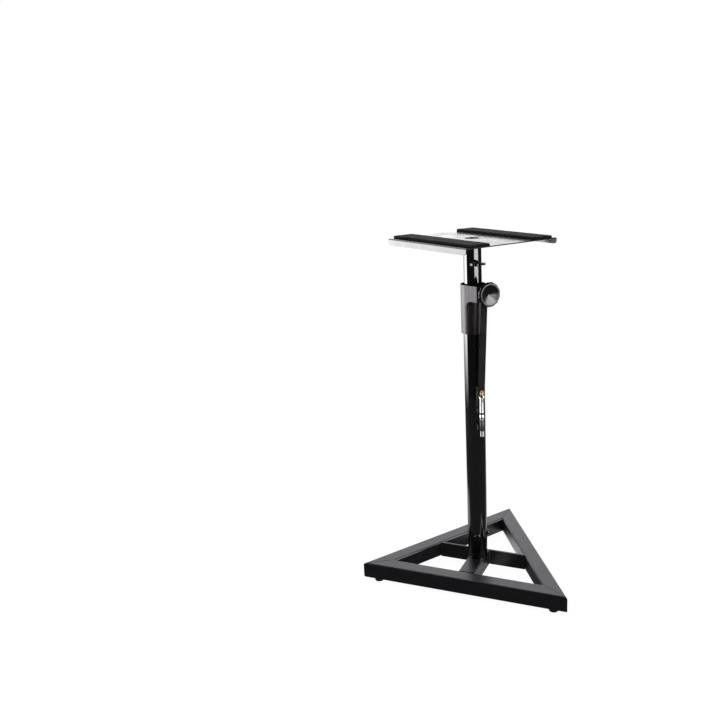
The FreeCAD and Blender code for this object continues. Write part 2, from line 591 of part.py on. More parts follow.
pin = piece("lock_pin", c("clamp_turn"))
PIN_LOW = f"({PIN_EYE} + 4.5 - {c('pin_length')})"
pin.rod(f"{c('pin_diameter')} / 2", c("pin_length"), (STRAP_MID, EYE_Y, PIN_LOW))
pin.bevel("1.2", lambda edge: circles(edge, V["pin_diameter"] / 2))
pin.bore(f"({c('ring_wire')} / 2 + 1.6)", "20",
         (f"({STRAP_MID} - 10)", EYE_Y, f"({PIN_EYE} - 0.15)"), ALONG_X)

# Hand over every piece once it has been found sound.
doc.recompute()
os.makedirs("parts", exist_ok=True)
for item in doc.Objects:
    if "Invalid" in item.State or "Error" in item.State:
        raise RuntimeError(f"{item.Name} did not build: {item.State}")
for item in pieces:
    shape = item.body.Shape
    if shape.isNull() or not shape.isValid() or shape.Volume <= 0:
        raise RuntimeError(f"{item.name} has no sound shape")
    shape.exportStep(f"parts/{item.name}.step")
    box = shape.BoundBox
    print(f"{item.name}: {len(shape.Solids)} solid, {shape.Volume:.0f} mm3, x {box.XMin:.2f} {box.XMax:.2f}, "
          f"y {box.YMin:.2f} {box.YMax:.2f}, z {box.ZMin:.2f} {box.ZMax:.2f}")
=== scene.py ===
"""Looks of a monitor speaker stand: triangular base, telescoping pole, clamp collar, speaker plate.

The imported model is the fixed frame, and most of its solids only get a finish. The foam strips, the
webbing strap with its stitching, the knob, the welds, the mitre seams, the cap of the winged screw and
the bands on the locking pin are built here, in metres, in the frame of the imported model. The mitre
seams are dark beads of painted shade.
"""

import json
import logging
import math
from dataclasses import dataclass, field
from enum import Enum
from typing import Callable, Iterable, Sequence

import bmesh
import bpy
from mathutils import Matrix, Vector

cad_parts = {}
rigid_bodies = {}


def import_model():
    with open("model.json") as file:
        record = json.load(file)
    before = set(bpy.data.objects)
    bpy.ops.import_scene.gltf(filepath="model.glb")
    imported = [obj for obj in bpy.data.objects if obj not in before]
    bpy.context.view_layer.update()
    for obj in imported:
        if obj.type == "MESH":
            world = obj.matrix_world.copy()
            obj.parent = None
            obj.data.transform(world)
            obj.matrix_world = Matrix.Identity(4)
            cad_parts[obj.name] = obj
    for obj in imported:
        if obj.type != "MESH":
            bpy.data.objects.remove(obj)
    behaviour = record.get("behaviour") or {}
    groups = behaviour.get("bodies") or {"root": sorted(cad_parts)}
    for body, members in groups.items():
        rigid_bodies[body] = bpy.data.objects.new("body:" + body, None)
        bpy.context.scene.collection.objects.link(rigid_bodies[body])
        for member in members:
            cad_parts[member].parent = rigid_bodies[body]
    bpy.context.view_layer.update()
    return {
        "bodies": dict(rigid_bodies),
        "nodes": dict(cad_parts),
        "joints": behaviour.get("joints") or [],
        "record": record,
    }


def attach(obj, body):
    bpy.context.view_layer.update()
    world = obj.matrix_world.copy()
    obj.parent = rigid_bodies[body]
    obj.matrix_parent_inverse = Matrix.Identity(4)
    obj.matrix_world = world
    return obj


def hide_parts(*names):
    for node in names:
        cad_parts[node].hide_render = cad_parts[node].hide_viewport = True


LOG = logging.getLogger("speaker_stand")
MM = 0.001
POLE = Vector((0.0, -38.98 * MM, 0.0))
MERGE = 1e-7

Colour = tuple[float, float, float]
Profile = Sequence[tuple[float, float]]
Socket = bpy.types.NodeSocket
Tree = bpy.types.NodeTree


class Surface(Enum):
    """Kinds of surface that a finish can have."""

    PAINT = "paint"
    GRAINED = "grained"
    FOAM = "foam"
    WEAVE = "weave"
    METAL = "metal"


@dataclass(frozen=True)
class Finish:
    """One finish of the stand, with what its surface needs.

    Attributes:
        name: Name of the material.
        surface: Kind of surface.
        colour: Main colour, linear.
        tint: Second colour that the main one drifts to.
        rough: Low and high roughness.
        grain: Size of the surface grain, in grains per metre.
        bump: Height of the grain, in metres.
        specular: Strength of the reflection of a painted or moulded surface.
        metallic: 1 for bare metal.
        cast: Colour cast of the reflection.
        dull_above: Height from which the surface is left dull, where it is.
    """

    name: str
    surface: Surface
    colour: Colour
    tint: Colour
    rough: tuple[float, float]
    grain: float
    bump: float
    specular: float = 0.5
    metallic: float = 0.0
    cast: Colour = (1.0, 1.0, 1.0)
    dull_above: float | None = None


TUBE_GLOSS = Finish("tube_gloss", Surface.PAINT, (0.0032, 0.0032, 0.0036), (0.0052, 0.0052, 0.0058),
                    (0.07, 0.12), 900.0, 0.0000004, 0.9)
PLATE_GLOSS = Finish("plate_gloss", Surface.PAINT, (0.006, 0.006, 0.0065), (0.009, 0.009, 0.0095),
                     (0.18, 0.25), 700.0, 0.000001, 0.5, cast=(1.0, 0.96, 0.99))
RAIL_SATIN = Finish("rail_satin", Surface.PAINT, (0.006, 0.006, 0.0068), (0.010, 0.0098, 0.011),
                    (0.28, 0.36), 1600.0, 0.000006, 0.5, cast=(0.94, 0.885, 1.0))
COLLAR_PLASTIC = Finish("collar_plastic", Surface.GRAINED, (0.009, 0.0085, 0.009),
                        (0.014, 0.0133, 0.014), (0.36, 0.44), 1500.0, 0.00004, 0.68,
                        cast=(1.0, 0.93, 0.985), dull_above=628.3 * MM)
KNOB_PLASTIC = Finish("knob_plastic", Surface.GRAINED, (0.006, 0.006, 0.0068), (0.010, 0.010, 0.011),
                      (0.20, 0.28), 1100.0, 0.000006, 0.5)
BUSH_PLASTIC = Finish("bush_plastic", Surface.GRAINED, (0.03, 0.03, 0.03), (0.045, 0.045, 0.045),
                      (0.4, 0.5), 800.0, 0.00003)
FOOT_RUBBER = Finish("foot_rubber", Surface.GRAINED, (0.010, 0.010, 0.010), (0.018, 0.018, 0.018),
                     (0.75, 0.9), 900.0, 0.00006, 0.3)
FOAM_STRIP = Finish("foam_strip", Surface.FOAM, (0.009, 0.0085, 0.0088), (0.016, 0.0152, 0.0158),
                    (0.9, 1.0), 900.0, 0.00016, 0.15)
WEBBING = Finish("webbing", Surface.WEAVE, (0.005, 0.005, 0.0052), (0.012, 0.012, 0.0125),
                 (0.7, 0.85), 1.0, 0.00014, 0.2)
# Dull black of the plate's spigot, also laid along the mitres as painted shade of their gaps.
DULL_BLACK_AND_SEAM_SHADE = Finish("dull_black_and_seam_shade", Surface.PAINT, (0.002, 0.002, 0.002), (0.004, 0.004, 0.004),
              (0.5, 0.6), 1600.0, 0.00002, 0.2)
THREAD = Finish("stitch_thread", Surface.GRAINED, (0.02, 0.02, 0.02), (0.03, 0.03, 0.03),
                (0.6, 0.75), 2500.0, 0.00004, 0.3)
CHROME = Finish("bright_chrome", Surface.METAL, (0.78, 0.77, 0.75), (0.70, 0.69, 0.67),
                (0.34, 0.44), 500.0, 0.00001, 0.5, 1.0)
ZINC = Finish("zinc_steel", Surface.METAL, (0.30, 0.30, 0.31), (0.22, 0.22, 0.23),
              (0.26, 0.38), 900.0, 0.00002, 0.5, 1.0)
DARK_ZINC = Finish("dark_zinc", Surface.METAL, (0.055, 0.055, 0.058), (0.035, 0.035, 0.037),
                   (0.20, 0.32), 900.0, 0.00002, 0.5, 1.0)
GILT = Finish("gilt_ring", Surface.METAL, (0.88, 0.84, 0.74), (0.82, 0.77, 0.66),
              (0.10, 0.20), 500.0, 0.00001, 0.5, 1.0)
EYELET = Finish("eyelet_brass", Surface.METAL, (0.34, 0.21, 0.08), (0.26, 0.15, 0.05),
                (0.25, 0.35), 900.0, 0.00002, 0.5, 1.0)
BRASS = Finish("insert_brass", Surface.METAL, (0.50, 0.36, 0.14), (0.42, 0.30, 0.11),
               (0.25, 0.35), 900.0, 0.00002, 0.5, 1.0)

# Noise of the finishes: cells per metre and layers, then the part of the noise that is used.
COLOUR_NOISE = (14.0, 3.0)
ROUGH_NOISE = (45.0, 4.0)
ROUGH_SPAN = (0.3, 0.7)
GRAIN_LAYERS = 4.0
BRUSHED = (1.0, 1.0, 0.12)

# Painted shade in the pores of the foam and the gaps of the weave: where it starts and ends, and the share
# of the colour left there.
PORE_SPAN = (0.45, 0.1)
GAP_SPAN = (-0.2, -1.3)
PAINTED_GAP_SHADE = 0.35

# Webbing: pitch of the yarns and ribs in millimetres, bend of the ribs, and weight of the yarns.
YARN_PITCH = 1.5
RIB_PITCH = 1.2
RIB_BEND = 1.3
YARN_WEIGHT = 0.5


def feed(tree: Tree, socket: Socket, value: Socket | float | tuple[float, ...]) -> None:
    """Link a socket, or set its value.

    Args:
        tree: Tree of the socket.
        socket: Socket to feed.
        value: Socket to link, or a plain value.
    """
    if isinstance(value, Socket):
        tree.links.new(value, socket)
    else:
        socket.default_value = value


def worked(tree: Tree, operation: str, *values: Socket | float) -> Socket:
    """Add a sum of sockets and numbers.

    Args:
        tree: Tree to add to.
        operation: Kind of sum.
        values: What goes into it, in order.

    Returns:
        The result's socket.
    """
    node = tree.nodes.new("ShaderNodeMath")
    node.operation = operation
    for socket, value in zip(node.inputs, values):
        feed(tree, socket, value)
    return node.outputs[0]


def ramped(tree: Tree, value: Socket, span: tuple[float, float],
           result: tuple[float, float] = (0.0, 1.0), soft: bool = False) -> Socket:
    """Add a ramp of a value.

    Args:
        tree: Tree to add to.
        value: What is ramped.
        span: Values at which the ramp starts and ends.
        result: What it gives there.
        soft: Whether its ends are eased.

    Returns:
        The result's socket.
    """
    node = tree.nodes.new("ShaderNodeMapRange")
    if soft:
        node.interpolation_type = "SMOOTHSTEP"
    for name, number in zip(("From Min", "From Max", "To Min", "To Max"), (*span, *result)):
        node.inputs[name].default_value = number
    tree.links.new(value, node.inputs["Value"])
    return node.outputs["Result"]


def blended(tree: Tree, factor: Socket, first: Socket | float | tuple[float, ...],
            second: Socket | float | tuple[float, ...], kind: str = "FLOAT") -> Socket:
    """Add a blend of two numbers or colours.

    Args:
        tree: Tree to add to.
        factor: Share of the second.
        first: What a factor of 0 gives.
        second: What a factor of 1 gives.
        kind: FLOAT for numbers, RGBA for colours.

    Returns:
        The result's socket.
    """
    node = tree.nodes.new("ShaderNodeMix")
    node.data_type = kind
    feed(tree, node.inputs["Factor"], factor)
    feed(tree, node.inputs["A"], first)
    feed(tree, node.inputs["B"], second)
    return node.outputs["Result"]


def split_axes(tree: Tree, vector: Socket) -> bpy.types.Node:
    """Add a node that takes a vector apart.

    Args:
        tree: Tree to add to.
        vector: Vector to take apart.

    Returns:
        The node, with outputs X, Y and Z.
    """
    node = tree.nodes.new("ShaderNodeSeparateXYZ")
    tree.links.new(vector, node.inputs["Vector"])
    return node


class MaterialShop:
    """Makes each finish's node material once."""

    def __init__(self) -> None:
        """Start with no materials made."""
        self._made: dict[str, bpy.types.Material] = {}

    def get(self, finish: Finish) -> bpy.types.Material:
        """The material of a finish.

        Args:
            finish: The finish to make or fetch.

        Returns:
            Its material.
        """
        if finish.name not in self._made:
            self._made[finish.name] = self._build(finish)
        return self._made[finish.name]

    def _build(self, finish: Finish) -> bpy.types.Material:
        """Build the node tree of a finish.

        Args:
            finish: The finish to build.

        Returns:
            A new material.
        """
        material = bpy.data.materials.new(finish.name)
        material.use_nodes = True
        tree = material.node_tree
        shader = tree.nodes["Principled BSDF"]
        shader.inputs["Metallic"].default_value = finish.metallic
        shader.inputs["Specular IOR Level"].default_value = finish.specular
        shader.inputs["Specular Tint"].default_value = (*finish.cast, 1.0)
        coords = tree.nodes.new("ShaderNodeTexCoord")
        place = coords.outputs["Object"]
        if finish.dull_above is not None:
            below = worked(tree, "LESS_THAN", split_axes(tree, place).outputs["Z"], finish.dull_above)
            strength = worked(tree, "MULTIPLY", below, finish.specular)
            tree.links.new(strength, shader.inputs["Specular IOR Level"])
        drift = self._noise(tree, place, *COLOUR_NOISE)
        colour = blended(tree, drift, (*finish.colour, 1.0), (*finish.tint, 1.0), "RGBA")
        rough = ramped(tree, self._noise(tree, place, *ROUGH_NOISE), ROUGH_SPAN, finish.rough)
        tree.links.new(rough, shader.inputs["Roughness"])
        height, gaps = self._relief(tree, coords, finish)
        # Pores and yarn gaps take a darker copy of the colour: painted shade.
        if gaps is not None:
            shade = (*(PAINTED_GAP_SHADE * part for part in finish.colour), 1.0)
            colour = blended(tree, gaps, colour, shade, "RGBA")
        tree.links.new(colour, shader.inputs["Base Color"])
        bump = tree.nodes.new("ShaderNodeBump")
        bump.inputs["Strength"].default_value = 1.0
        bump.inputs["Distance"].default_value = finish.bump
        tree.links.new(height, bump.inputs["Height"])
        tree.links.new(bump.outputs["Normal"], shader.inputs["Normal"])
        return material

    @staticmethod
    def _noise(tree: Tree, vector: Socket, scale: float, detail: float) -> Socket:
        """Add a noise texture.

        Args:
            tree: Tree to add to.
            vector: Coordinates to read.
            scale: Noise cells per metre.
            detail: Layers of finer noise.

        Returns:
            The noise value's socket.
        """
        node = tree.nodes.new("ShaderNodeTexNoise")
        node.inputs["Scale"].default_value = scale
        node.inputs["Detail"].default_value = detail
        tree.links.new(vector, node.inputs["Vector"])
        return node.outputs["Fac"]

    def _relief(self, tree: Tree, coords: bpy.types.Node, finish: Finish) -> tuple[Socket, Socket | None]:
        """Add the fine relief of a finish.

        Args:
            tree: Tree to add to.
            coords: Texture coordinates.
            finish: The finish being built.

        Returns:
            A height socket, and a socket of the places darkened with painted shade, where the finish has
            them.
        """
        place = coords.outputs["Object"]
        if finish.surface is Surface.FOAM:
            cells = tree.nodes.new("ShaderNodeTexVoronoi")
            cells.inputs["Scale"].default_value = finish.grain
            tree.links.new(place, cells.inputs["Vector"])
            return cells.outputs["Distance"], ramped(tree, cells.outputs["Distance"], PORE_SPAN)
        if finish.surface is Surface.WEAVE:
            return self._weave(tree, coords.outputs["UV"])
        if finish.surface is Surface.METAL:
            stretch = tree.nodes.new("ShaderNodeMapping")
            stretch.inputs["Scale"].default_value = BRUSHED
            tree.links.new(place, stretch.inputs["Vector"])
            place = stretch.outputs["Vector"]
        return self._noise(tree, place, finish.grain, GRAIN_LAYERS), None

    @staticmethod
    def _weave(tree: Tree, uv: Socket) -> tuple[Socket, Socket]:
        """Add a webbing weave: ribs across the strap, broken by its lengthwise yarns.

        Args:
            tree: Tree to add to.
            uv: The strap's own map, in millimetres across and along.

        Returns:
            A height socket and a socket of the gaps between yarns, which get painted shade.
        """
        split = split_axes(tree, uv)

        def wave(source: Socket, pitch: float, shift: Socket | float) -> Socket:
            """A sine of a coordinate, with a pitch in millimetres."""
            return worked(tree, "SINE", worked(tree, "MULTIPLY_ADD", source, math.tau / pitch, shift))

        yarns = wave(split.outputs["X"], YARN_PITCH, 0.0)
        ribs = wave(split.outputs["Y"], RIB_PITCH, worked(tree, "MULTIPLY", yarns, RIB_BEND))
        height = worked(tree, "MULTIPLY_ADD", yarns, YARN_WEIGHT, ribs)
        return height, ramped(tree, height, GAP_SPAN)


@dataclass
class Workshop:
    """What every sub-assembly needs: the loaded frame and the finishes.

    Attributes:
        shop: The material shop.
        made: Names of the pieces made so far.
    """

    frame: dict
    shop: MaterialShop = field(default_factory=MaterialShop)
    made: list[str] = field(default_factory=list)

    def dress(self, finish: Finish, *nodes: str) -> None:
        """Give carried-over solids a finish.

        Args:
            finish: The finish.
            nodes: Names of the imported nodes.
        """
        for name in nodes:
            data = self.frame["nodes"][name].data
            data.materials.clear()
            data.materials.append(self.shop.get(finish))
            LOG.info("%s wears %s", name, finish.name)

    def piece(self, name: str, mesh: bpy.types.Mesh, finish: Finish) -> bpy.types.Object:
        """Put a mesh in the scene as a smooth piece at the origin.

        Args:
            name: Name of the piece.
            mesh: Its mesh, in the frame of the model.
            finish: Its finish.

        Returns:
            The new object.
        """
        mesh.materials.clear()
        mesh.materials.append(self.shop.get(finish))
        for face in mesh.polygons:
            face.use_smooth = True
        item = bpy.data.objects.new(name, mesh)
        bpy.context.scene.collection.objects.link(item)
        self.made.append(name)
        LOG.info("%s: %d faces, %s", name, len(mesh.polygons), finish.name)
        return item


def mesh_of(name: str, build: Callable[[bmesh.types.BMesh], None]) -> bpy.types.Mesh:
    """Make a mesh from a building function, with its normals outwards.

    Args:
        name: Name of the mesh.
        build: Function that fills an empty bmesh.

    Returns:
        The mesh.
    """
    shape = bmesh.new()
    build(shape)
    bmesh.ops.remove_doubles(shape, verts=shape.verts, dist=MERGE)
    bmesh.ops.recalc_face_normals(shape, faces=shape.faces)
    mesh = bpy.data.meshes.new(name)
    shape.to_mesh(mesh)
    shape.free()
    return mesh


def turned(azimuth: float, height: float = 0.0, reach: float = 0.0) -> Matrix:
    """Place of a piece drawn about the pole with its own +X outwards.

    Args:
        azimuth: Direction of its +X about the pole, in degrees.
        height: Height of its origin, in metres.
        reach: Distance of its origin from the pole axis, in metres.

    Returns:
        The matrix to the frame of the model.
    """
    lift = Matrix.Translation(POLE + Vector((0.0, 0.0, height)))
    turn = Matrix.Rotation(math.radians(azimuth), 4, "Z")
    return lift @ turn @ Matrix.Translation(Vector((reach, 0.0, 0.0)))


def lathed(name: str, rows: Profile, place: Matrix, steps: int,
           reshape: Callable[[float, float, float], float] | None = None) -> bpy.types.Mesh:
    """Turn a profile about the X axis of a place and close it at both ends.

    Args:
        name: Name of the mesh.
        rows: Depth along the axis and radius of each ring.
        place: Matrix from the turning axes to the frame of the model.
        steps: Points round a ring.
        reshape: Gives a ring's radius at an angle from its depth, radius and angle.

    Returns:
        The turned mesh.
    """
    def fill(shape: bmesh.types.BMesh) -> None:
        """Draw the rings, the walls between them and the two ends.

        Args:
            shape: Mesh to fill.
        """
        rings = []
        for depth, radius in rows:
            ring = []
            for step in range(steps):
                angle = math.tau * step / steps
                reach = radius if reshape is None else reshape(depth, radius, angle)
                spot = Vector((depth, reach * math.cos(angle), reach * math.sin(angle)))
                ring.append(shape.verts.new(place @ spot))
            rings.append(ring)
        for low, high in zip(rings, rings[1:]):
            for step in range(steps):
                after = (step + 1) % steps
                shape.faces.new((low[step], low[after], high[after], high[step]))
        shape.faces.new(rings[0])
        shape.faces.new(rings[-1])

    return mesh_of(name, fill)


def in_metres(rows: Profile) -> list[tuple[float, float]]:
    """A profile in millimetres, in metres."""
    return [(depth * MM, radius * MM) for depth, radius in rows]


def baked(item: bpy.types.Object, name: str) -> bpy.types.Mesh:
    """Turn an object and its modifiers into a plain mesh and remove the object.

    Args:
        item: Object with live modifiers.
        name: Name of the new mesh.

    Returns:
        The evaluated mesh.
    """
    graph = bpy.context.evaluated_depsgraph_get()
    mesh = bpy.data.meshes.new_from_object(item.evaluated_get(graph))
    mesh.name = name
    bpy.data.objects.remove(item)
    return mesh


class BeadTree:
    """Geometry Nodes tree that lays overlapping beads or stitches along poly-lines.

    Attributes:
        SEGMENTS: Points round a bead.
        RINGS: Rings along a bead.
        tree: The tree.
        pitch: Identifier of its input for the distance between beads.
        size: Identifier of its input for the half sizes of a bead.
    """

    SEGMENTS = 10
    RINGS = 6

    def __init__(self, name: str, material: bpy.types.Material) -> None:
        """Build the tree.

        Args:
            name: Name of the tree.
            material: Material of what it lays.
        """
        self.tree = bpy.data.node_groups.new(name, "GeometryNodeTree")
        face = self.tree.interface
        face.new_socket("Geometry", in_out="INPUT", socket_type="NodeSocketGeometry")
        self.pitch = face.new_socket("Pitch", in_out="INPUT", socket_type="NodeSocketFloat").identifier
        self.size = face.new_socket("Size", in_out="INPUT", socket_type="NodeSocketVector").identifier
        face.new_socket("Geometry", in_out="OUTPUT", socket_type="NodeSocketGeometry")
        nodes, links = self.tree.nodes, self.tree.links
        start = nodes.new("NodeGroupInput")
        end = nodes.new("NodeGroupOutput")
        line = nodes.new("GeometryNodeMeshToCurve")
        links.new(start.outputs["Geometry"], line.inputs["Mesh"])
        spots = nodes.new("GeometryNodeCurveToPoints")
        spots.mode = "LENGTH"
        links.new(line.outputs["Curve"], spots.inputs["Curve"])
        links.new(start.outputs["Pitch"], spots.inputs["Length"])
        ball = nodes.new("GeometryNodeMeshUVSphere")
        ball.inputs["Segments"].default_value = self.SEGMENTS
        ball.inputs["Rings"].default_value = self.RINGS
        ball.inputs["Radius"].default_value = 1.0
        lay = nodes.new("GeometryNodeInstanceOnPoints")
        links.new(spots.outputs["Points"], lay.inputs["Points"])
        links.new(ball.outputs["Mesh"], lay.inputs["Instance"])
        links.new(spots.outputs["Rotation"], lay.inputs["Rotation"])
        links.new(start.outputs["Size"], lay.inputs["Scale"])
        whole = nodes.new("GeometryNodeRealizeInstances")
        links.new(lay.outputs["Instances"], whole.inputs["Geometry"])
        soft = nodes.new("GeometryNodeSetShadeSmooth")
        links.new(whole.outputs["Geometry"], soft.inputs["Geometry"])
        paint = nodes.new("GeometryNodeSetMaterial")
        paint.inputs["Material"].default_value = material
        links.new(soft.outputs["Geometry"], paint.inputs["Geometry"])
        links.new(paint.outputs["Geometry"], end.inputs["Geometry"])

    def lay(self, name: str, runs: Iterable[Sequence[Vector]], pitch: float,
            size: tuple[float, float, float]) -> bpy.types.Mesh:
        """Lay beads along poly-lines.

        Args:
            name: Name of the new mesh.
            runs: Poly-lines, in the frame of the model.
            pitch: Distance between beads, in metres.
            size: Half sizes of a bead; its Z lies along the line.

        Returns:
            A plain mesh of all the beads.
        """
        verts: list[Vector] = []
        edges: list[tuple[int, int]] = []
        for run in runs:
            first = len(verts)
            verts.extend(run)
            edges.extend((first + i, first + i + 1) for i in range(len(run) - 1))
        data = bpy.data.meshes.new(f"{name}_line")
        data.from_pydata(verts, edges, [])
        item = bpy.data.objects.new(f"{name}_line", data)
        bpy.context.scene.collection.objects.link(item)
        modifier = item.modifiers.new("beads", "NODES")
        modifier.node_group = self.tree
        modifier[self.pitch] = pitch
        modifier[self.size] = size
        return baked(item, name)


@dataclass
class BaseFrame:
    """Triangular base: mitred rails, cross bar, centre strut, feet and welds.

    Attributes:
        work: The workshop.
        half_width: Half length of the front rail, in metres.
        depth: Front face to apex.
        setback: Pole axis behind the front face.
        rail_width: Width of the rails.
        rail_low: Underside of the rails above the floor.
        rail_top: Top of the rails above the floor.
        rail_round: Rounding along the rails.
        strut_half: Half width of the centre strut.
        bar_front: Front face of the cross bar behind the pole axis.
        bar_half: Half length of the cross bar's front face.
        weld_foot: Lower end of a weld above the rails' underside.
        weld_head: Upper end of a weld below the rails' top.
        weld_out: Middle of a weld in front of the corner that it fills.
        weld_pitch: Distance between the beads of a weld.
        weld_bead: Half sizes of a bead.
        seam_gap: Ends of a mitre's line from the rails' rounded edges.
        seam_pitch: Distance between the beads of a mitre's line.
        seam_bead: Half sizes of a bead of that line.
    """

    work: Workshop
    half_width: float = 220.0 * MM
    depth: float = 338.0 * MM
    setback: float = 104.5 * MM
    rail_width: float = 32.0 * MM
    rail_low: float = 6.0 * MM
    rail_top: float = 40.0 * MM
    rail_round: float = 4.0 * MM
    strut_half: float = 17.0 * MM
    bar_front: float = 26.5 * MM
    bar_half: float = 96.5 * MM
    weld_foot: float = 3.0 * MM
    weld_head: float = 2.5 * MM
    weld_out: float = 0.4 * MM
    weld_pitch: float = 1.7 * MM
    weld_bead: tuple[float, float, float] = (1.5 * MM, 1.5 * MM, 1.3 * MM)
    seam_gap: float = 0.2 * MM
    seam_pitch: float = 0.7 * MM
    seam_bead: tuple[float, float, float] = (0.35 * MM, 0.35 * MM, 0.6 * MM)

    def build(self) -> None:
        """Dress the solids, lay the welds and draw the mitre seams as dull black beads of painted shade."""
        self.work.dress(RAIL_SATIN, "front_rail", "left_rail", "right_rail")
        self.work.dress(RAIL_SATIN, "cross_bar", "centre_strut", "base_stub")
        self.work.dress(DARK_ZINC, "tube_bolts")
        self.work.dress(FOOT_RUBBER, "foot_left", "foot_right", "foot_back")
        self.lay("frame_welds", self.welds(), RAIL_SATIN, self.weld_pitch, self.weld_bead)
        # The mitre seams are dark beads: painted shade of the gaps at the mitres.
        self.lay("mitre_seam_shade", self.seams(), DULL_BLACK_AND_SEAM_SHADE, self.seam_pitch, self.seam_bead)

    def lay(self, name: str, runs: list[list[Vector]], finish: Finish, pitch: float,
            size: tuple[float, float, float]) -> None:
        """Lay beads along poly-lines as one piece of the base.

        Args:
            name: Name of the piece.
            runs: Poly-lines in the frame of the model.
            finish: Finish of the beads.
            pitch: Distance between beads.
            size: Half sizes of a bead.
        """
        tree = BeadTree(f"{name}_run", self.work.shop.get(finish))
        item = self.work.piece(name, tree.lay(name, runs, pitch, size), finish)
        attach(item, "base")

    def welds(self) -> list[list[Vector]]:
        """Upright beads in the corners of the bar, against the rails and against the strut.

        Returns:
            The line of each weld.
        """
        low, high = self.rail_low + self.weld_foot, self.rail_top - self.weld_head
        runs = []
        for side in (-1.0, 1.0):
            for reach in (self.bar_half - self.weld_out, self.strut_half + self.weld_out):
                spot = POLE + Vector((side * reach, self.bar_front - self.weld_out, 0.0))
                runs.append([spot + Vector((0.0, 0.0, z)) for z in (low, high)])
        return runs

    def seams(self) -> list[list[Vector]]:
        """Lines of the mitres along the tops of the rails, short of their rounded edges.

        Returns:
            The line of each mitre.
        """
        slope = math.hypot(self.half_width, self.depth)
        margin = self.rail_round + self.seam_gap
        insets = (margin, self.rail_width - margin)
        runs = [[self.corner(inset, side, slope) for inset in insets] for side in (-1.0, 1.0)]
        tips = [self.depth - self.setback - inset * slope / self.half_width for inset in insets]
        runs.append([POLE + Vector((0.0, tip, self.rail_top)) for tip in tips])
        return runs

    def corner(self, inset: float, side: float, slope: float) -> Vector:
        """Point of a front mitre at an inset from the outer faces.

        Args:
            inset: Distance from the outer faces.
            side: -1 for left, 1 for right.
            slope: Length of a side of the triangle.

        Returns:
            The point on top of the rails.
        """
        run = inset * (slope + self.half_width) / self.depth
        return POLE + Vector((side * (self.half_width - run), inset - self.setback, self.rail_top))


@dataclass
class Pole:
    """Lower tube, collar and clamp knob.

    Attributes:
        work: The workshop.
        azimuth: Direction of the knob about the pole, in degrees.
        clamp: Height of the knob's axis, in metres.
        knob_back: Back of the knob's neck from the pole axis.
        knob_thickness: Thickness of the knob with its neck.
        knob_radius: Radius of the knob's rim.
        lobes: Number of grip lobes round the neck and the rim.
        lobe_steps: Points round a lobe.
        neck_lobe: Depth of the hollows between the neck's lobes.
        rim_lobe: Depth of the hollows between the rim's lobes.
    """

    work: Workshop
    azimuth: float = -37.0
    clamp: float = 614.5 * MM
    knob_back: float = 40.5 * MM
    knob_thickness: float = 19.5 * MM
    knob_radius: float = 24.35 * MM
    lobes: int = 12
    lobe_steps: int = 16
    neck_lobe: float = 2.4 * MM
    rim_lobe: float = 0.5 * MM

    def build(self) -> None:
        """Dress the solids and make the knob."""
        self.work.dress(TUBE_GLOSS, "lower_tube")
        self.work.dress(COLLAR_PLASTIC, "clamp_collar")
        self.work.dress(BUSH_PLASTIC, "collar_bush", "pressure_shoe")
        self.work.dress(ZINC, "collar_screws", "clamp_stud")
        self.work.dress(BRASS, "thread_insert")
        self.knob()

    def profile(self) -> list[tuple[float, float, float]]:
        """Turned profile of the knob from its bore round to the middle of its dish.

        Returns:
            Depth from the neck's back, radius, and depth of the hollows between lobes there.
        """
        r, t = self.knob_radius / MM, self.knob_thickness / MM
        neck, rim = self.neck_lobe / MM, self.rim_lobe / MM
        rows = [
            (9.0, 4.05, 0.0), (0.0, 4.05, 0.0), (0.0, 10.6, 0.0), (0.3, 11.6, 0.4 * neck),
            (1.0, 12.4, neck), (4.6, 12.5, neck), (6.4, 13.3, 0.9 * neck), (9.2, 16.8, 0.6 * neck),
            (12.0, 21.0, 0.5 * rim), (13.6, 23.2, rim), (14.4, r - 0.4, rim), (15.1, r, rim),
            (16.0, r, rim), (16.7, r - 0.35, rim), (18.4, r - 1.9, 0.5 * rim), (t - 0.3, r - 2.55, 0.0),
            (t, r - 2.9, 0.0), (t, r - 3.4, 0.0), (t, r - 4.9, 0.0), (t, r - 5.3, 0.0),
            (t - 0.25, r - 5.8, 0.0), (t - 0.6, r - 6.5, 0.0), (t - 3.7, 9.6, 0.0), (t - 6.3, 2.2, 0.0),
            (t - 6.9, 0.9, 0.0),
        ]
        return [(depth * MM, radius * MM, hollow * MM) for depth, radius, hollow in rows]

    def knob(self) -> None:
        """Flared knob with a lobed neck, a bevelled rim, a flat ring and a coned dish."""
        rows = self.profile()
        hollows = {(depth, radius): hollow for depth, radius, hollow in rows}

        def lobed(depth: float, radius: float, angle: float) -> float:
            """Radius pulled in between the lobes."""
            return radius - hollows[depth, radius] * (0.5 + 0.5 * math.cos(self.lobes * angle)) ** 2

        place = turned(self.azimuth, self.clamp, self.knob_back)
        line = [(depth, radius) for depth, radius, _ in rows]
        mesh = lathed("flared_knob", line, place, self.lobes * self.lobe_steps, lobed)
        knob = self.work.piece("flared_knob", mesh, KNOB_PLASTIC)
        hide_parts("clamp_knob")
        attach(knob, "knob")


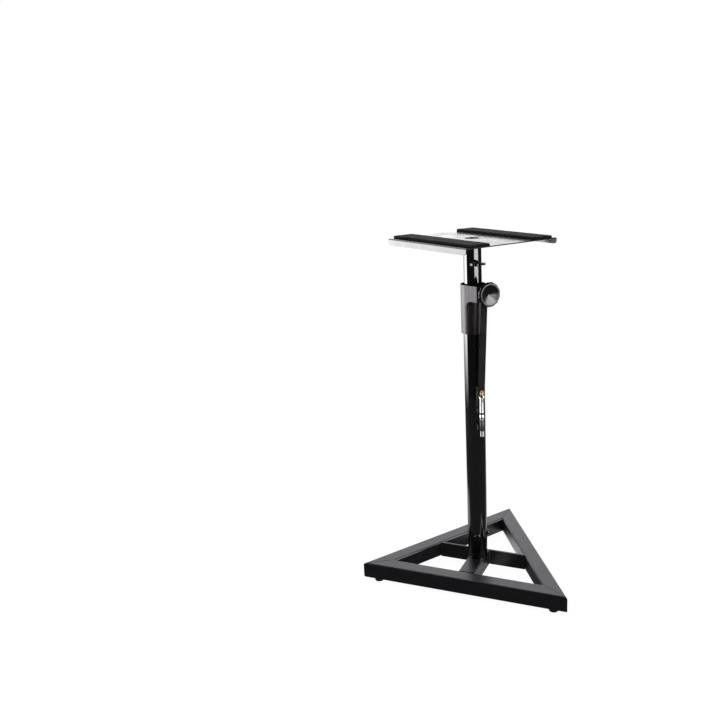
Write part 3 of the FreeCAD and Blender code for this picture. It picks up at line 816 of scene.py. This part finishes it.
@dataclass
class Mast:
    """Upper tube with its guide bush, screw boss and winged screw.

    Attributes:
        work: The workshop.
        azimuth: Direction of the winged screw about the pole, in degrees.
        height: Height of the winged screw's axis.
        hub_end: End of the winged screw's hub from the pole axis.
        hub_radius: Radius of the hub at its end.
        hub_steps: Points round the hub's cap.
    """

    work: Workshop
    azimuth: float = -51.0
    height: float = 670.5 * MM
    hub_end: float = 33.0 * MM
    hub_radius: float = 4.6 * MM
    hub_steps: int = 48

    def build(self) -> None:
        """Dress the solids and cap the hub."""
        self.work.dress(TUBE_GLOSS, "upper_tube")
        self.work.dress(BUSH_PLASTIC, "guide_bush")
        self.work.dress(DARK_ZINC, "screw_boss", "wing_screw")
        self.cap()

    def cap(self) -> None:
        """Rolled rim and dished end on the winged screw's hub."""
        r = self.hub_radius / MM
        rows = [(-0.6, r - 1.2), (-0.6, r + 0.08), (1.4, r - 0.05), (1.8, r - 0.45), (1.8, r - 0.65),
                (1.5, r - 1.0), (0.08, 0.5)]
        place = turned(self.azimuth, self.height, self.hub_end)
        mesh = lathed("hub_cap", in_metres(rows), place, self.hub_steps)
        cap = self.work.piece("hub_cap", mesh, DARK_ZINC)
        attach(cap, "winged_screw")


@dataclass
class SpeakerPlate:
    """Square plate with its spigot and two foam strips.

    Attributes:
        work: The workshop.
        azimuth: Direction of the lips' normal about the pole, in degrees.
        top: Top of the plate above the floor.
        middle: Middle of a strip from the plate's middle.
        width: Width of a strip.
        length: Length of a strip.
        thickness: Thickness of a strip.
        inset: Cut walls of a strip inside its width and length.
        sag: Top of a strip below its thickness.
        glue: Underside of a strip above the plate.
        edge_steps: Distances from a side at which its rounded edge is drawn.
        edge_drop: Share of the thickness that the rounded edge falls.
        wander: How far the cut sides wander.
        ripple: Height of the ripples on top.
        across: Steps across a strip.
        along: Steps along a strip.
    """

    work: Workshop
    azimuth: float = 60.8
    top: float = 716.5 * MM
    middle: float = 79.5 * MM
    width: float = 45.0 * MM
    length: float = 228.0 * MM
    thickness: float = 5.0 * MM
    inset: float = 0.3 * MM
    sag: float = 0.15 * MM
    glue: float = 0.02 * MM
    edge_steps: tuple[float, ...] = (0.0, 0.15 * MM, 0.35 * MM, 0.65 * MM, 1.1 * MM)
    edge_drop: float = 0.55
    wander: float = 0.25 * MM
    ripple: float = 0.06 * MM
    across: int = 26
    along: int = 90

    def build(self) -> None:
        """Dress the plate and make the strips."""
        self.work.dress(PLATE_GLOSS, "top_plate")
        self.work.dress(DULL_BLACK_AND_SEAM_SHADE, "plate_spigot")
        sides = (("foam_strip_near", "foam_near", -1.0), ("foam_strip_far", "foam_far", 1.0))
        for name, node, side in sides:
            strip = self.work.piece(name, self.strip(name, side), FOAM_STRIP)
            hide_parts(node)
            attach(strip, "platform")

    def crown(self, share: float, half: float) -> float:
        """Height of the crown at a share of the way to a side, with a rounded edge.

        Args:
            share: -1 at one side, 1 at the other.
            half: Half of the width or length.

        Returns:
            The height, as a share of the thickness.
        """
        inside, edge = half * (1.0 - abs(share)), self.edge_steps[-1]
        if inside >= edge:
            return 1.0
        return 1.0 - self.edge_drop * (1.0 - math.sqrt(max(0.0, 1.0 - (1.0 - inside / edge) ** 2)))

    def spread(self, count: int, half: float) -> list[float]:
        """Shares from side to side, close together at the edges.

        Args:
            count: Steps between the rounded edges.
            half: Half of the width or length.

        Returns:
            The shares, from -1 to 1.
        """
        edge = [value / half for value in self.edge_steps]
        inner = [-1.0 + edge[-1] + (2.0 - 2.0 * edge[-1]) * i / count for i in range(1, count)]
        low = [-1.0 + value for value in edge]
        return low + inner + [-value for value in reversed(low)]

    def spot(self, u: float, v: float, side: float) -> Vector:
        """Point of a strip's top.

        Args:
            u: Share of the way across.
            v: Share of the way along.
            side: -1 for the near strip, 1 for the far one.

        Returns:
            The point, from the plate's middle.
        """
        half_w, half_l = self.width / 2, self.length / 2
        # The cut sides wander in slow waves, and two crossing ripples run over the top.
        wander = self.wander * math.sin(37.0 * v + side) * abs(u) ** 6
        wave = self.ripple * (math.sin(9.0 * v + 3.0 * u + side) + math.sin(23.0 * v - 5.0 * u))
        rise = self.thickness * self.crown(u, half_w) * self.crown(v, half_l) - self.sag + wave
        x = side * self.middle + u * (half_w - self.inset) + wander
        return Vector((x, v * (half_l - self.inset), rise))

    def strip(self, name: str, side: float) -> bpy.types.Mesh:
        """Foam strip: flat below, crowned on top, with soft cut edges that wander a little.

        Args:
            name: Name of the mesh.
            side: -1 for the near strip, 1 for the far one.

        Returns:
            Its mesh.
        """
        place = turned(self.azimuth, self.top)
        xs, ys = self.spread(self.across, self.width / 2), self.spread(self.along, self.length / 2)

        def fill(shape: bmesh.types.BMesh) -> None:
            """Draw a grid for the top, its copy for the bottom, and the cut walls.

            Args:
                shape: Mesh to fill.
            """
            top, low = [], []
            for v in ys:
                upper, lower = [], []
                for u in xs:
                    spot = self.spot(u, v, side)
                    upper.append(shape.verts.new(place @ spot))
                    lower.append(shape.verts.new(place @ Vector((spot.x, spot.y, self.glue))))
                top.append(upper)
                low.append(lower)
            last_j, last_i = len(ys) - 1, len(xs) - 1
            for j in range(last_j):
                for i in range(last_i):
                    shape.faces.new((top[j][i], top[j][i + 1], top[j + 1][i + 1], top[j + 1][i]))
                    shape.faces.new((low[j][i], low[j + 1][i], low[j + 1][i + 1], low[j][i + 1]))
            rim = [(0, i) for i in range(last_i)]
            rim += [(j, last_i) for j in range(last_j)]
            rim += [(last_j, i) for i in range(last_i, 0, -1)]
            rim += [(j, 0) for j in range(last_j, 0, -1)]
            for (j, i), (n, m) in zip(rim, rim[1:] + rim[:1]):
                shape.faces.new((top[j][i], low[j][i], low[n][m], top[n][m]))

        return mesh_of(name, fill)


@dataclass
class Lanyard:
    """Webbing strap on the knob's stud, with its eyelet, ring and locking pin.

    Attributes:
        work: The workshop.
        azimuth: Direction of the knob about the pole, in degrees.
        reach: Middle of the strap from the pole axis.
        stud: Height of the stud's axis.
        eyelet: Height of the eyelet, measured along the strap.
        lean: Lean of the strap from plumb, in degrees.
        width: Width of the webbing.
        thickness: Thickness of the webbing.
        selvedge: Width of the thinner selvedges.
        selvedge_share: Share of the thickness left at a selvedge's side.
        stud_hole: Radius of the hole round the stud.
        eye_hole: Radius of the hole round the eyelet.
        route_steps: Steps of the strap's line; not used.
        end_steps: Points round an end of the strap.
        rows: Rows of faces along the strap between its ends.
        columns: Columns of faces across the strap.
        shares: Lines of points drawn from a hole to the strap's side, or through a row.
        merge: Points of the strap this close are one.
        stitch_head: Ends of the upper stitching, below the stud.
        stitch_foot: Ends of the lower stitching, above the eyelet.
        stitch_half: Half width of the stitching.
        stitch_lift: Thread above the webbing's face.
        stitch_pitch: Distance between stitches.
        stitch: Half sizes of a stitch.
        pin_axis: Where the hanging pin's axis meets the floor.
        pin_steps: Points round the pin's bands.
        sleeve: Height and radius of the rings of the pin's sleeve, in millimetres.
        collar: Height and radius of the rings of the pin's collar, in millimetres.
    """

    work: Workshop
    azimuth: float = -37.0
    reach: float = 39.5 * MM
    stud: float = 614.5 * MM
    eyelet: float = 416.5 * MM
    lean: float = 3.0
    width: float = 15.0 * MM
    thickness: float = 1.6 * MM
    selvedge: float = 1.2 * MM
    selvedge_share: float = 0.62
    stud_hole: float = 4.3 * MM
    eye_hole: float = 3.5 * MM
    route_steps: int = 8
    end_steps: int = 64
    rows: int = 60
    columns: int = 16
    shares: tuple[float, ...] = (0.0, 0.35, 0.7, 0.88, 1.0)
    merge: float = 0.02 * MM
    stitch_head: tuple[float, float] = (30.0 * MM, 14.0 * MM)
    stitch_foot: tuple[float, float] = (12.0 * MM, 28.0 * MM)
    stitch_half: float = 5.0 * MM
    stitch_lift: float = 0.05 * MM
    stitch_pitch: float = 2.4 * MM
    stitch: tuple[float, float, float] = (0.28 * MM, 0.28 * MM, 0.95 * MM)
    pin_axis: tuple[float, float, float] = (25.31 * MM, -71.028 * MM, 0.0)
    pin_steps: int = 40
    sleeve: Profile = ((337.6, 3.9), (337.9, 4.2), (361.6, 4.2), (361.9, 3.2),
                       (371.9, 3.2), (372.2, 4.2), (376.3, 4.2), (376.6, 3.9))
    collar: Profile = ((362.9, 3.9), (363.3, 4.5), (370.7, 4.5), (371.1, 3.9))

    def build(self) -> None:
        """Dress the metal, weave the strap, sew its ends and band the pin."""
        self.work.dress(EYELET, "strap_eyelet")
        self.work.dress(GILT, "pin_ring")
        self.work.dress(CHROME, "lock_pin")
        strap = self.strap()
        stitches = self.stitches()
        bands = [self.band("pin_sleeve", self.sleeve, BUSH_PLASTIC),
                 self.band("pin_collar", self.collar, CHROME)]
        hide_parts("lock_strap")
        for item in (strap, stitches):
            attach(item, "lanyard")

    def band(self, name: str, rows: Profile, finish: Finish) -> bpy.types.Object:
        """A turned band round the hanging pin.

        Args:
            name: Name of the piece.
            rows: Height and radius of each of its rings, in millimetres.
            finish: Its finish.

        Returns:
            The band.
        """
        place = Matrix.Translation(Vector(self.pin_axis)) @ Matrix.Rotation(math.radians(-90.0), 4, "Y")
        item = self.work.piece(name, lathed(name, in_metres(rows), place, self.pin_steps), finish)
        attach(item, "pin")
        return item

    def hung(self) -> Matrix:
        """Matrix from the strap's own upright axes to where it leans from its stud.

        Returns:
            The matrix to the frame of the model.
        """
        stud = Matrix.Translation(Vector((0.0, 0.0, self.stud)))
        lean = Matrix.Rotation(math.radians(-self.lean), 4, "X")
        return turned(self.azimuth) @ stud @ lean @ stud.inverted()

    def patches(self) -> list[tuple[Profile, Profile]]:
        """Patches of the ribbon's face: one round each hole, then rows between the ends.

        Returns:
            Inner and outer line of each patch, as places across and up the strap.
        """
        half = self.width / 2
        patches = []
        for height, hole, way in ((self.stud, self.stud_hole, 1.0), (self.eyelet, self.eye_hole, -1.0)):
            inner, outer = [], []
            for step in range(self.end_steps + 1):
                angle = math.tau * step / self.end_steps
                y, z = math.cos(angle), math.sin(angle)
                grow = half if way * z >= 0.0 else half / max(abs(y), abs(z))
                inner.append((hole * y, height + hole * z))
                outer.append((grow * y, height + grow * z))
            patches.append((inner, outer))
        low, high = self.eyelet + half, self.stud - half
        line = [-half + self.width * i / self.columns for i in range(self.columns + 1)]
        levels = [low + (high - low) * row / self.rows for row in range(self.rows + 1)]
        for lower, upper in zip(levels, levels[1:]):
            patches.append(([(y, lower) for y in line], [(y, upper) for y in line]))
        return patches

    def half_depth(self, y: float, z: float) -> float:
        """Half thickness of the webbing, thinner at the selvedges.

        Args:
            y: Place across the strap.
            z: Place up the strap.

        Returns:
            The half thickness there.
        """
        edge = self.width / 2 - abs(y)
        if z > self.stud or z < self.eyelet:
            centre = self.stud if z > self.stud else self.eyelet
            edge = self.width / 2 - math.hypot(y, z - centre)
        rise = min(1.0, max(0.0, edge) / self.selvedge)
        return self.thickness / 2 * (self.selvedge_share + (1.0 - self.selvedge_share) * rise)

    def strap(self) -> bpy.types.Object:
        """The webbing: a thin ribbon with round ends, a hole at each, and selvedges along its sides.

        Returns:
            The strap.
        """
        place = self.hung()

        def fill(shape: bmesh.types.BMesh) -> None:
            """Draw both faces of the ribbon, then bridge their open rims.

            Args:
                shape: Mesh to fill.
            """
            for side in (-1.0, 1.0):
                for inner, outer in self.patches():
                    grid = []
                    for share in self.shares:
                        line = [(a + (c - a) * share, b + (d - b) * share)
                                for (a, b), (c, d) in zip(inner, outer)]
                        spots = [Vector((self.reach + side * self.half_depth(y, z), y, z)) for y, z in line]
                        grid.append([shape.verts.new(place @ spot) for spot in spots])
                    for one, two in zip(grid, grid[1:]):
                        for i in range(len(one) - 1):
                            shape.faces.new((one[i], one[i + 1], two[i + 1], two[i]))
            bmesh.ops.remove_doubles(shape, verts=shape.verts, dist=self.merge)
            self.close_rims(shape, place)

        mesh = mesh_of("webbing_strap", fill)
        self.unwrap(mesh, place)
        return self.work.piece("webbing_strap", mesh, WEBBING)

    def close_rims(self, shape: bmesh.types.BMesh, place: Matrix) -> None:
        """Join the two faces of the ribbon along their open rims.

        Args:
            shape: The ribbon's two faces.
            place: Matrix from the ribbon's own axes.
        """
        back = place.inverted()
        local = {vert: back @ vert.co for vert in shape.verts}
        rims = [edge for edge in shape.edges if edge.is_boundary]
        partner: dict[tuple[int, int], bmesh.types.BMVert] = {}
        grid = 0.01 * MM

        def key(vert: bmesh.types.BMVert) -> tuple[int, int]:
            """A vertex's place on the ribbon's face, in hundredths of a millimetre."""
            return round(local[vert].y / grid), round(local[vert].z / grid)

        for edge in rims:
            for vert in edge.verts:
                if local[vert].x > self.reach:
                    partner[key(vert)] = vert
        for edge in rims:
            one, two = edge.verts
            if local[one].x > self.reach:
                continue
            far_one, far_two = partner.get(key(one)), partner.get(key(two))
            if far_one and far_two:
                shape.faces.new((one, two, far_two, far_one))

    @staticmethod
    def unwrap(mesh: bpy.types.Mesh, place: Matrix) -> None:
        """Give the strap its own map, in millimetres across and along.

        Args:
            mesh: The strap's mesh.
            place: Matrix from the strap's own axes.
        """
        back = place.inverted()
        layer = mesh.uv_layers.new(name="weave")
        for loop in mesh.loops:
            spot = back @ mesh.vertices[loop.vertex_index].co
            layer.data[loop.index].uv = (spot.y / MM, spot.z / MM)

    def stitches(self) -> bpy.types.Object:
        """Rows of thread that sew the strap's folded ends: a box and one diagonal at each.

        Returns:
            The stitching.
        """
        place = self.hung()
        face = self.thickness / 2 + self.stitch_lift
        half = self.stitch_half
        head = [self.stud - drop for drop in self.stitch_head]
        foot = [self.eyelet + rise for rise in self.stitch_foot]
        runs = []
        for low, high in (head, foot):
            corners = [(-half, low), (half, low), (half, high), (-half, high), (-half, low), (half, high)]
            for side in (-1.0, 1.0):
                runs.append([place @ Vector((self.reach + side * face, y, z)) for y, z in corners])
        tree = BeadTree("stitch_run", self.work.shop.get(THREAD))
        mesh = tree.lay("strap_stitches", runs, self.stitch_pitch, self.stitch)
        return self.work.piece("strap_stitches", mesh, THREAD)


@dataclass(frozen=True)
class Panel:
    """A light panel of the studio, as reflections see it; angles in degrees.

    Attributes:
        azimuth: Direction of its middle about the vertical.
        half: Angle from its middle to its side.
        low: Its lower edge above the horizon.
        high: Its upper edge above the horizon.
        soft: Half width of its soft edges.
        soft_low: Half width of its soft lower edge.
        power: Its brightness.
    """

    azimuth: float
    half: float
    low: float
    high: float
    soft: float
    soft_low: float
    power: float


@dataclass(frozen=True)
class Patch:
    """A patch of painted light on the floor, which only reflections see, in metres.

    Attributes:
        left: X at which its left side starts and is fully lit.
        right: X at which its right side ends and is still fully lit.
        front: Y at which its front starts and is fully lit.
        power: Its brightness.
    """

    left: tuple[float, float]
    right: tuple[float, float]
    front: tuple[float, float]
    power: float


@dataclass(frozen=True)
class Lamp:
    """A square lamp of the studio.

    Attributes:
        name: Its name.
        spot: Its place, in metres.
        size: Length of its sides.
        power: Its power, in watts.
    """

    name: str
    spot: tuple[float, float, float]
    size: float
    power: float


PANELS = (
    Panel(110.0, 50.0, 16.0, 75.0, 20.0, 4.0, 1.9),
    Panel(110.0, 50.0, 2.0, 8.5, 2.0, 2.0, 3.2),
    Panel(193.0, 15.0, -15.0, 14.0, 3.0, 5.0, 13.0),
    Panel(166.0, 14.0, -15.0, 10.0, 8.0, 5.0, 5.0),
    Panel(137.0, 16.0, -15.0, 2.0, 8.0, 5.0, 0.9),
    Panel(-21.0, 26.0, -10.5, 6.0, 3.0, 2.0, 8.0),
    Panel(-6.0, 30.0, 8.0, 40.0, 12.0, 6.0, 9.0),
)
PATCHES = (
    Patch((0.01, 0.025), (0.06, 0.04), (-0.13, -0.1), 0.6),
    Patch((-0.02, 0.02), (0.2, 0.12), (-0.01, 0.03), 1.3),
    Patch((-0.5, -0.35), (-0.14, -0.24), (-0.16, -0.1), 1.0),
)
LAMPS = (
    Lamp("left_box", (-1.9, -0.5, 1.6), 1.2, 22.0),
    Lamp("top_box", (0.1, 0.5, 2.6), 1.8, 18.0),
    Lamp("right_box", (1.9, -0.9, 1.4), 0.7, 5.0),
)


@dataclass
class Studio:
    """Floor, light and camera.

    Attributes:
        focal: Focal length in pixels of a square frame.
        frame: Width of that frame, in pixels.
        centre: Optical centre across the frame, in pixels.
        sensor: Width of the camera's sensor, in millimetres.
        place: Camera position, in millimetres.
        azimuth: Direction of view from +Y, in degrees, positive towards +X.
        pitch: Angle below the horizon.
        roll: Roll of the frame.
        far: How far the camera sees, in metres.
        aim: Height that the lamps are aimed at, in metres.
        reach: Radius of the floor, in metres.
        floor_steps: Points round the floor.
        floor_grey: Colour of the floor.
        floor_rough: Roughness of the floor.
        floor_white: Brightness of the floor's glow to the camera.
        floor_share: Share of that glow; the rest takes the object's shadow.
        floor_dark: Brightness of the floor in reflections, away from its lit patches.
        sky: Brightness of the world to all but the camera and reflections.
        sky_dark: Brightness of the world in reflections, away from its panels.
    """

    focal: float = 776.2
    frame: float = 720.0
    centre: float = 485.0
    sensor: float = 36.0
    place: tuple[float, float, float] = (505.4, -1446.1, 889.3)
    azimuth: float = -18.94
    pitch: float = 15.54
    roll: float = 0.87
    far: float = 50.0
    aim: float = 0.4
    reach: float = 1.25
    floor_steps: int = 96
    floor_grey: float = 0.82
    floor_rough: float = 0.9
    floor_white: float = 1.05
    floor_share: float = 0.92
    floor_dark: float = 0.1
    sky: float = 0.2
    sky_dark: float = 0.04

    def build(self) -> None:
        """Make the floor, the light and the camera."""
        bpy.context.scene.view_settings.view_transform = "Standard"
        self.floor()
        self.world()
        self.lamps()
        self.camera()

    def camera(self) -> None:
        """Camera at the photograph's place."""
        az, pitch, roll = (math.radians(v) for v in (self.azimuth, self.pitch, self.roll))
        level = Vector((math.sin(az), math.cos(az), 0.0))
        ahead = level * math.cos(pitch) - Vector((0.0, 0.0, math.sin(pitch)))
        right = ahead.cross(Vector((0.0, 0.0, 1.0))).normalized()
        down = ahead.cross(right)
        across = right * math.cos(roll) + down * math.sin(roll)
        below = down * math.cos(roll) - right * math.sin(roll)
        data = bpy.data.cameras.new("photo_camera")
        data.sensor_width = self.sensor
        data.sensor_fit = "HORIZONTAL"
        data.lens = self.sensor * self.focal / self.frame
        data.shift_x = (self.frame / 2 - self.centre) / self.frame
        data.clip_end = self.far
        item = bpy.data.objects.new("photo_camera", data)
        turn = Matrix((across, -below, -ahead)).transposed().to_4x4()
        item.matrix_world = Matrix.Translation(Vector(self.place) * MM) @ turn
        bpy.context.scene.collection.objects.link(item)
        bpy.context.scene.camera = item

    def floor(self) -> None:
        """Pale floor that the camera sees as white with a soft shadow, and that reflections see as a dim
        glow with patches of painted light.
        """
        def fill(shape: bmesh.types.BMesh) -> None:
            """One large disc."""
            bmesh.ops.create_circle(shape, cap_ends=True, segments=self.floor_steps, radius=self.reach)

        item = bpy.data.objects.new("studio_floor", mesh_of("studio_floor", fill))
        material = bpy.data.materials.new("pale_floor")
        material.use_nodes = True
        tree = material.node_tree
        shader = tree.nodes["Principled BSDF"]
        shader.inputs["Base Color"].default_value = (self.floor_grey, self.floor_grey, self.floor_grey, 1.0)
        shader.inputs["Roughness"].default_value = self.floor_rough
        split = split_axes(tree, tree.nodes.new("ShaderNodeTexCoord").outputs["Object"])
        # In reflections the floor is a glow: painted light, brighter over its patches.
        lit: Socket | float = self.floor_dark
        for patch in PATCHES:
            lit = worked(tree, "MAXIMUM", self.lit(tree, split, patch), lit)
        path = tree.nodes.new("ShaderNodeLightPath")
        to_camera, to_gloss = path.outputs["Is Camera Ray"], path.outputs["Is Glossy Ray"]
        glow = tree.nodes.new("ShaderNodeEmission")
        tree.links.new(blended(tree, to_camera, lit, self.floor_white), glow.inputs["Strength"])
        mix = tree.nodes.new("ShaderNodeMixShader")
        share = worked(tree, "MULTIPLY_ADD", to_camera, self.floor_share, to_gloss)
        tree.links.new(share, mix.inputs["Fac"])
        tree.links.new(shader.outputs["BSDF"], mix.inputs[1])
        tree.links.new(glow.outputs["Emission"], mix.inputs[2])
        tree.links.new(mix.outputs["Shader"], tree.nodes["Material Output"].inputs["Surface"])
        item.data.materials.append(material)
        bpy.context.scene.collection.objects.link(item)

    @staticmethod
    def lit(tree: Tree, split: bpy.types.Node, patch: Patch) -> Socket:
        """Brightness of a lit patch at a place on the floor.

        Args:
            tree: The floor's tree.
            split: Node that gives the place's X and Y.
            patch: The patch.

        Returns:
            The brightness seen there.
        """
        glow: Socket | float = patch.power
        for axis, span in (("X", patch.left), ("X", patch.right), ("Y", patch.front)):
            glow = worked(tree, "MULTIPLY", ramped(tree, split.outputs[axis], span, soft=True), glow)
        return glow

    def world(self) -> None:
        """White background; reflections see a studio with soft boxes to the left, right and behind."""
        world = bpy.data.worlds.new("studio")
        bpy.context.scene.world = world
        world.use_nodes = True
        tree = world.node_tree
        coords = tree.nodes.new("ShaderNodeTexCoord")
        total: Socket | float = self.sky_dark
        for panel in PANELS:
            total = worked(tree, "MAXIMUM", self.reflected(tree, coords.outputs["Generated"], panel), total)
        path = tree.nodes.new("ShaderNodeLightPath")
        seen = blended(tree, path.outputs["Is Glossy Ray"], self.sky, total)
        white = blended(tree, path.outputs["Is Camera Ray"], seen, 1.0)
        tree.links.new(white, tree.nodes["Background"].inputs["Strength"])
        tree.nodes["Background"].inputs["Color"].default_value = (1.0, 1.0, 1.0, 1.0)

    @staticmethod
    def reflected(tree: Tree, way: Socket, panel: Panel) -> Socket:
        """Brightness of a panel in the direction that a reflection looks.

        Args:
            tree: The world's tree.
            way: Direction being looked up.
            panel: The panel.

        Returns:
            The brightness seen in a direction.
        """
        split = split_axes(tree, way)
        level = tree.nodes.new("ShaderNodeCombineXYZ")
        for axis in ("X", "Y"):
            tree.links.new(split.outputs[axis], level.inputs[axis])
        unit = tree.nodes.new("ShaderNodeVectorMath")
        unit.operation = "NORMALIZE"
        tree.links.new(level.outputs["Vector"], unit.inputs[0])
        toward = tree.nodes.new("ShaderNodeVectorMath")
        toward.operation = "DOT_PRODUCT"
        turn = math.radians(panel.azimuth)
        toward.inputs[1].default_value = (math.cos(turn), math.sin(turn), 0.0)
        tree.links.new(unit.outputs["Vector"], toward.inputs[0])
        sides = [math.cos(math.radians(panel.half + soft)) for soft in (panel.soft, -panel.soft)]
        foot = [math.sin(math.radians(panel.low + soft)) for soft in (-panel.soft_low, panel.soft_low)]
        head = [math.sin(math.radians(panel.high + soft)) for soft in (panel.soft, -panel.soft)]
        glow: Socket | float = panel.power
        for source, span in ((toward.outputs["Value"], sides), (split.outputs["Z"], foot),
                             (split.outputs["Z"], head)):
            glow = worked(tree, "MULTIPLY", ramped(tree, source, tuple(span), soft=True), glow)
        return glow

    def lamps(self) -> None:
        """Soft lamps: a large one to the left, one above, a weak one to the right."""
        for lamp in LAMPS:
            data = bpy.data.lights.new(lamp.name, "AREA")
            data.shape = "SQUARE"
            data.size = lamp.size
            data.energy = lamp.power
            item = bpy.data.objects.new(lamp.name, data)
            item.location = lamp.spot
            way = Vector((0.0, 0.0, self.aim)) - Vector(lamp.spot)
            item.rotation_euler = way.to_track_quat("-Z", "Y").to_euler()
            bpy.context.scene.collection.objects.link(item)


def main() -> None:
    """Build the stand's pieces in order and note the sizes."""
    logging.basicConfig(level=logging.INFO)
    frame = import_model()
    work = Workshop(frame)
    Studio().build()
    Lanyard(work).build()
    BaseFrame(work).build()
    Pole(work).build()
    Mast(work).build()
    SpeakerPlate(work).build()
    bpy.context.view_layer.update()
    LOG.info("%d pieces made", len(work.made))


if __name__ == "__main__":
    main()
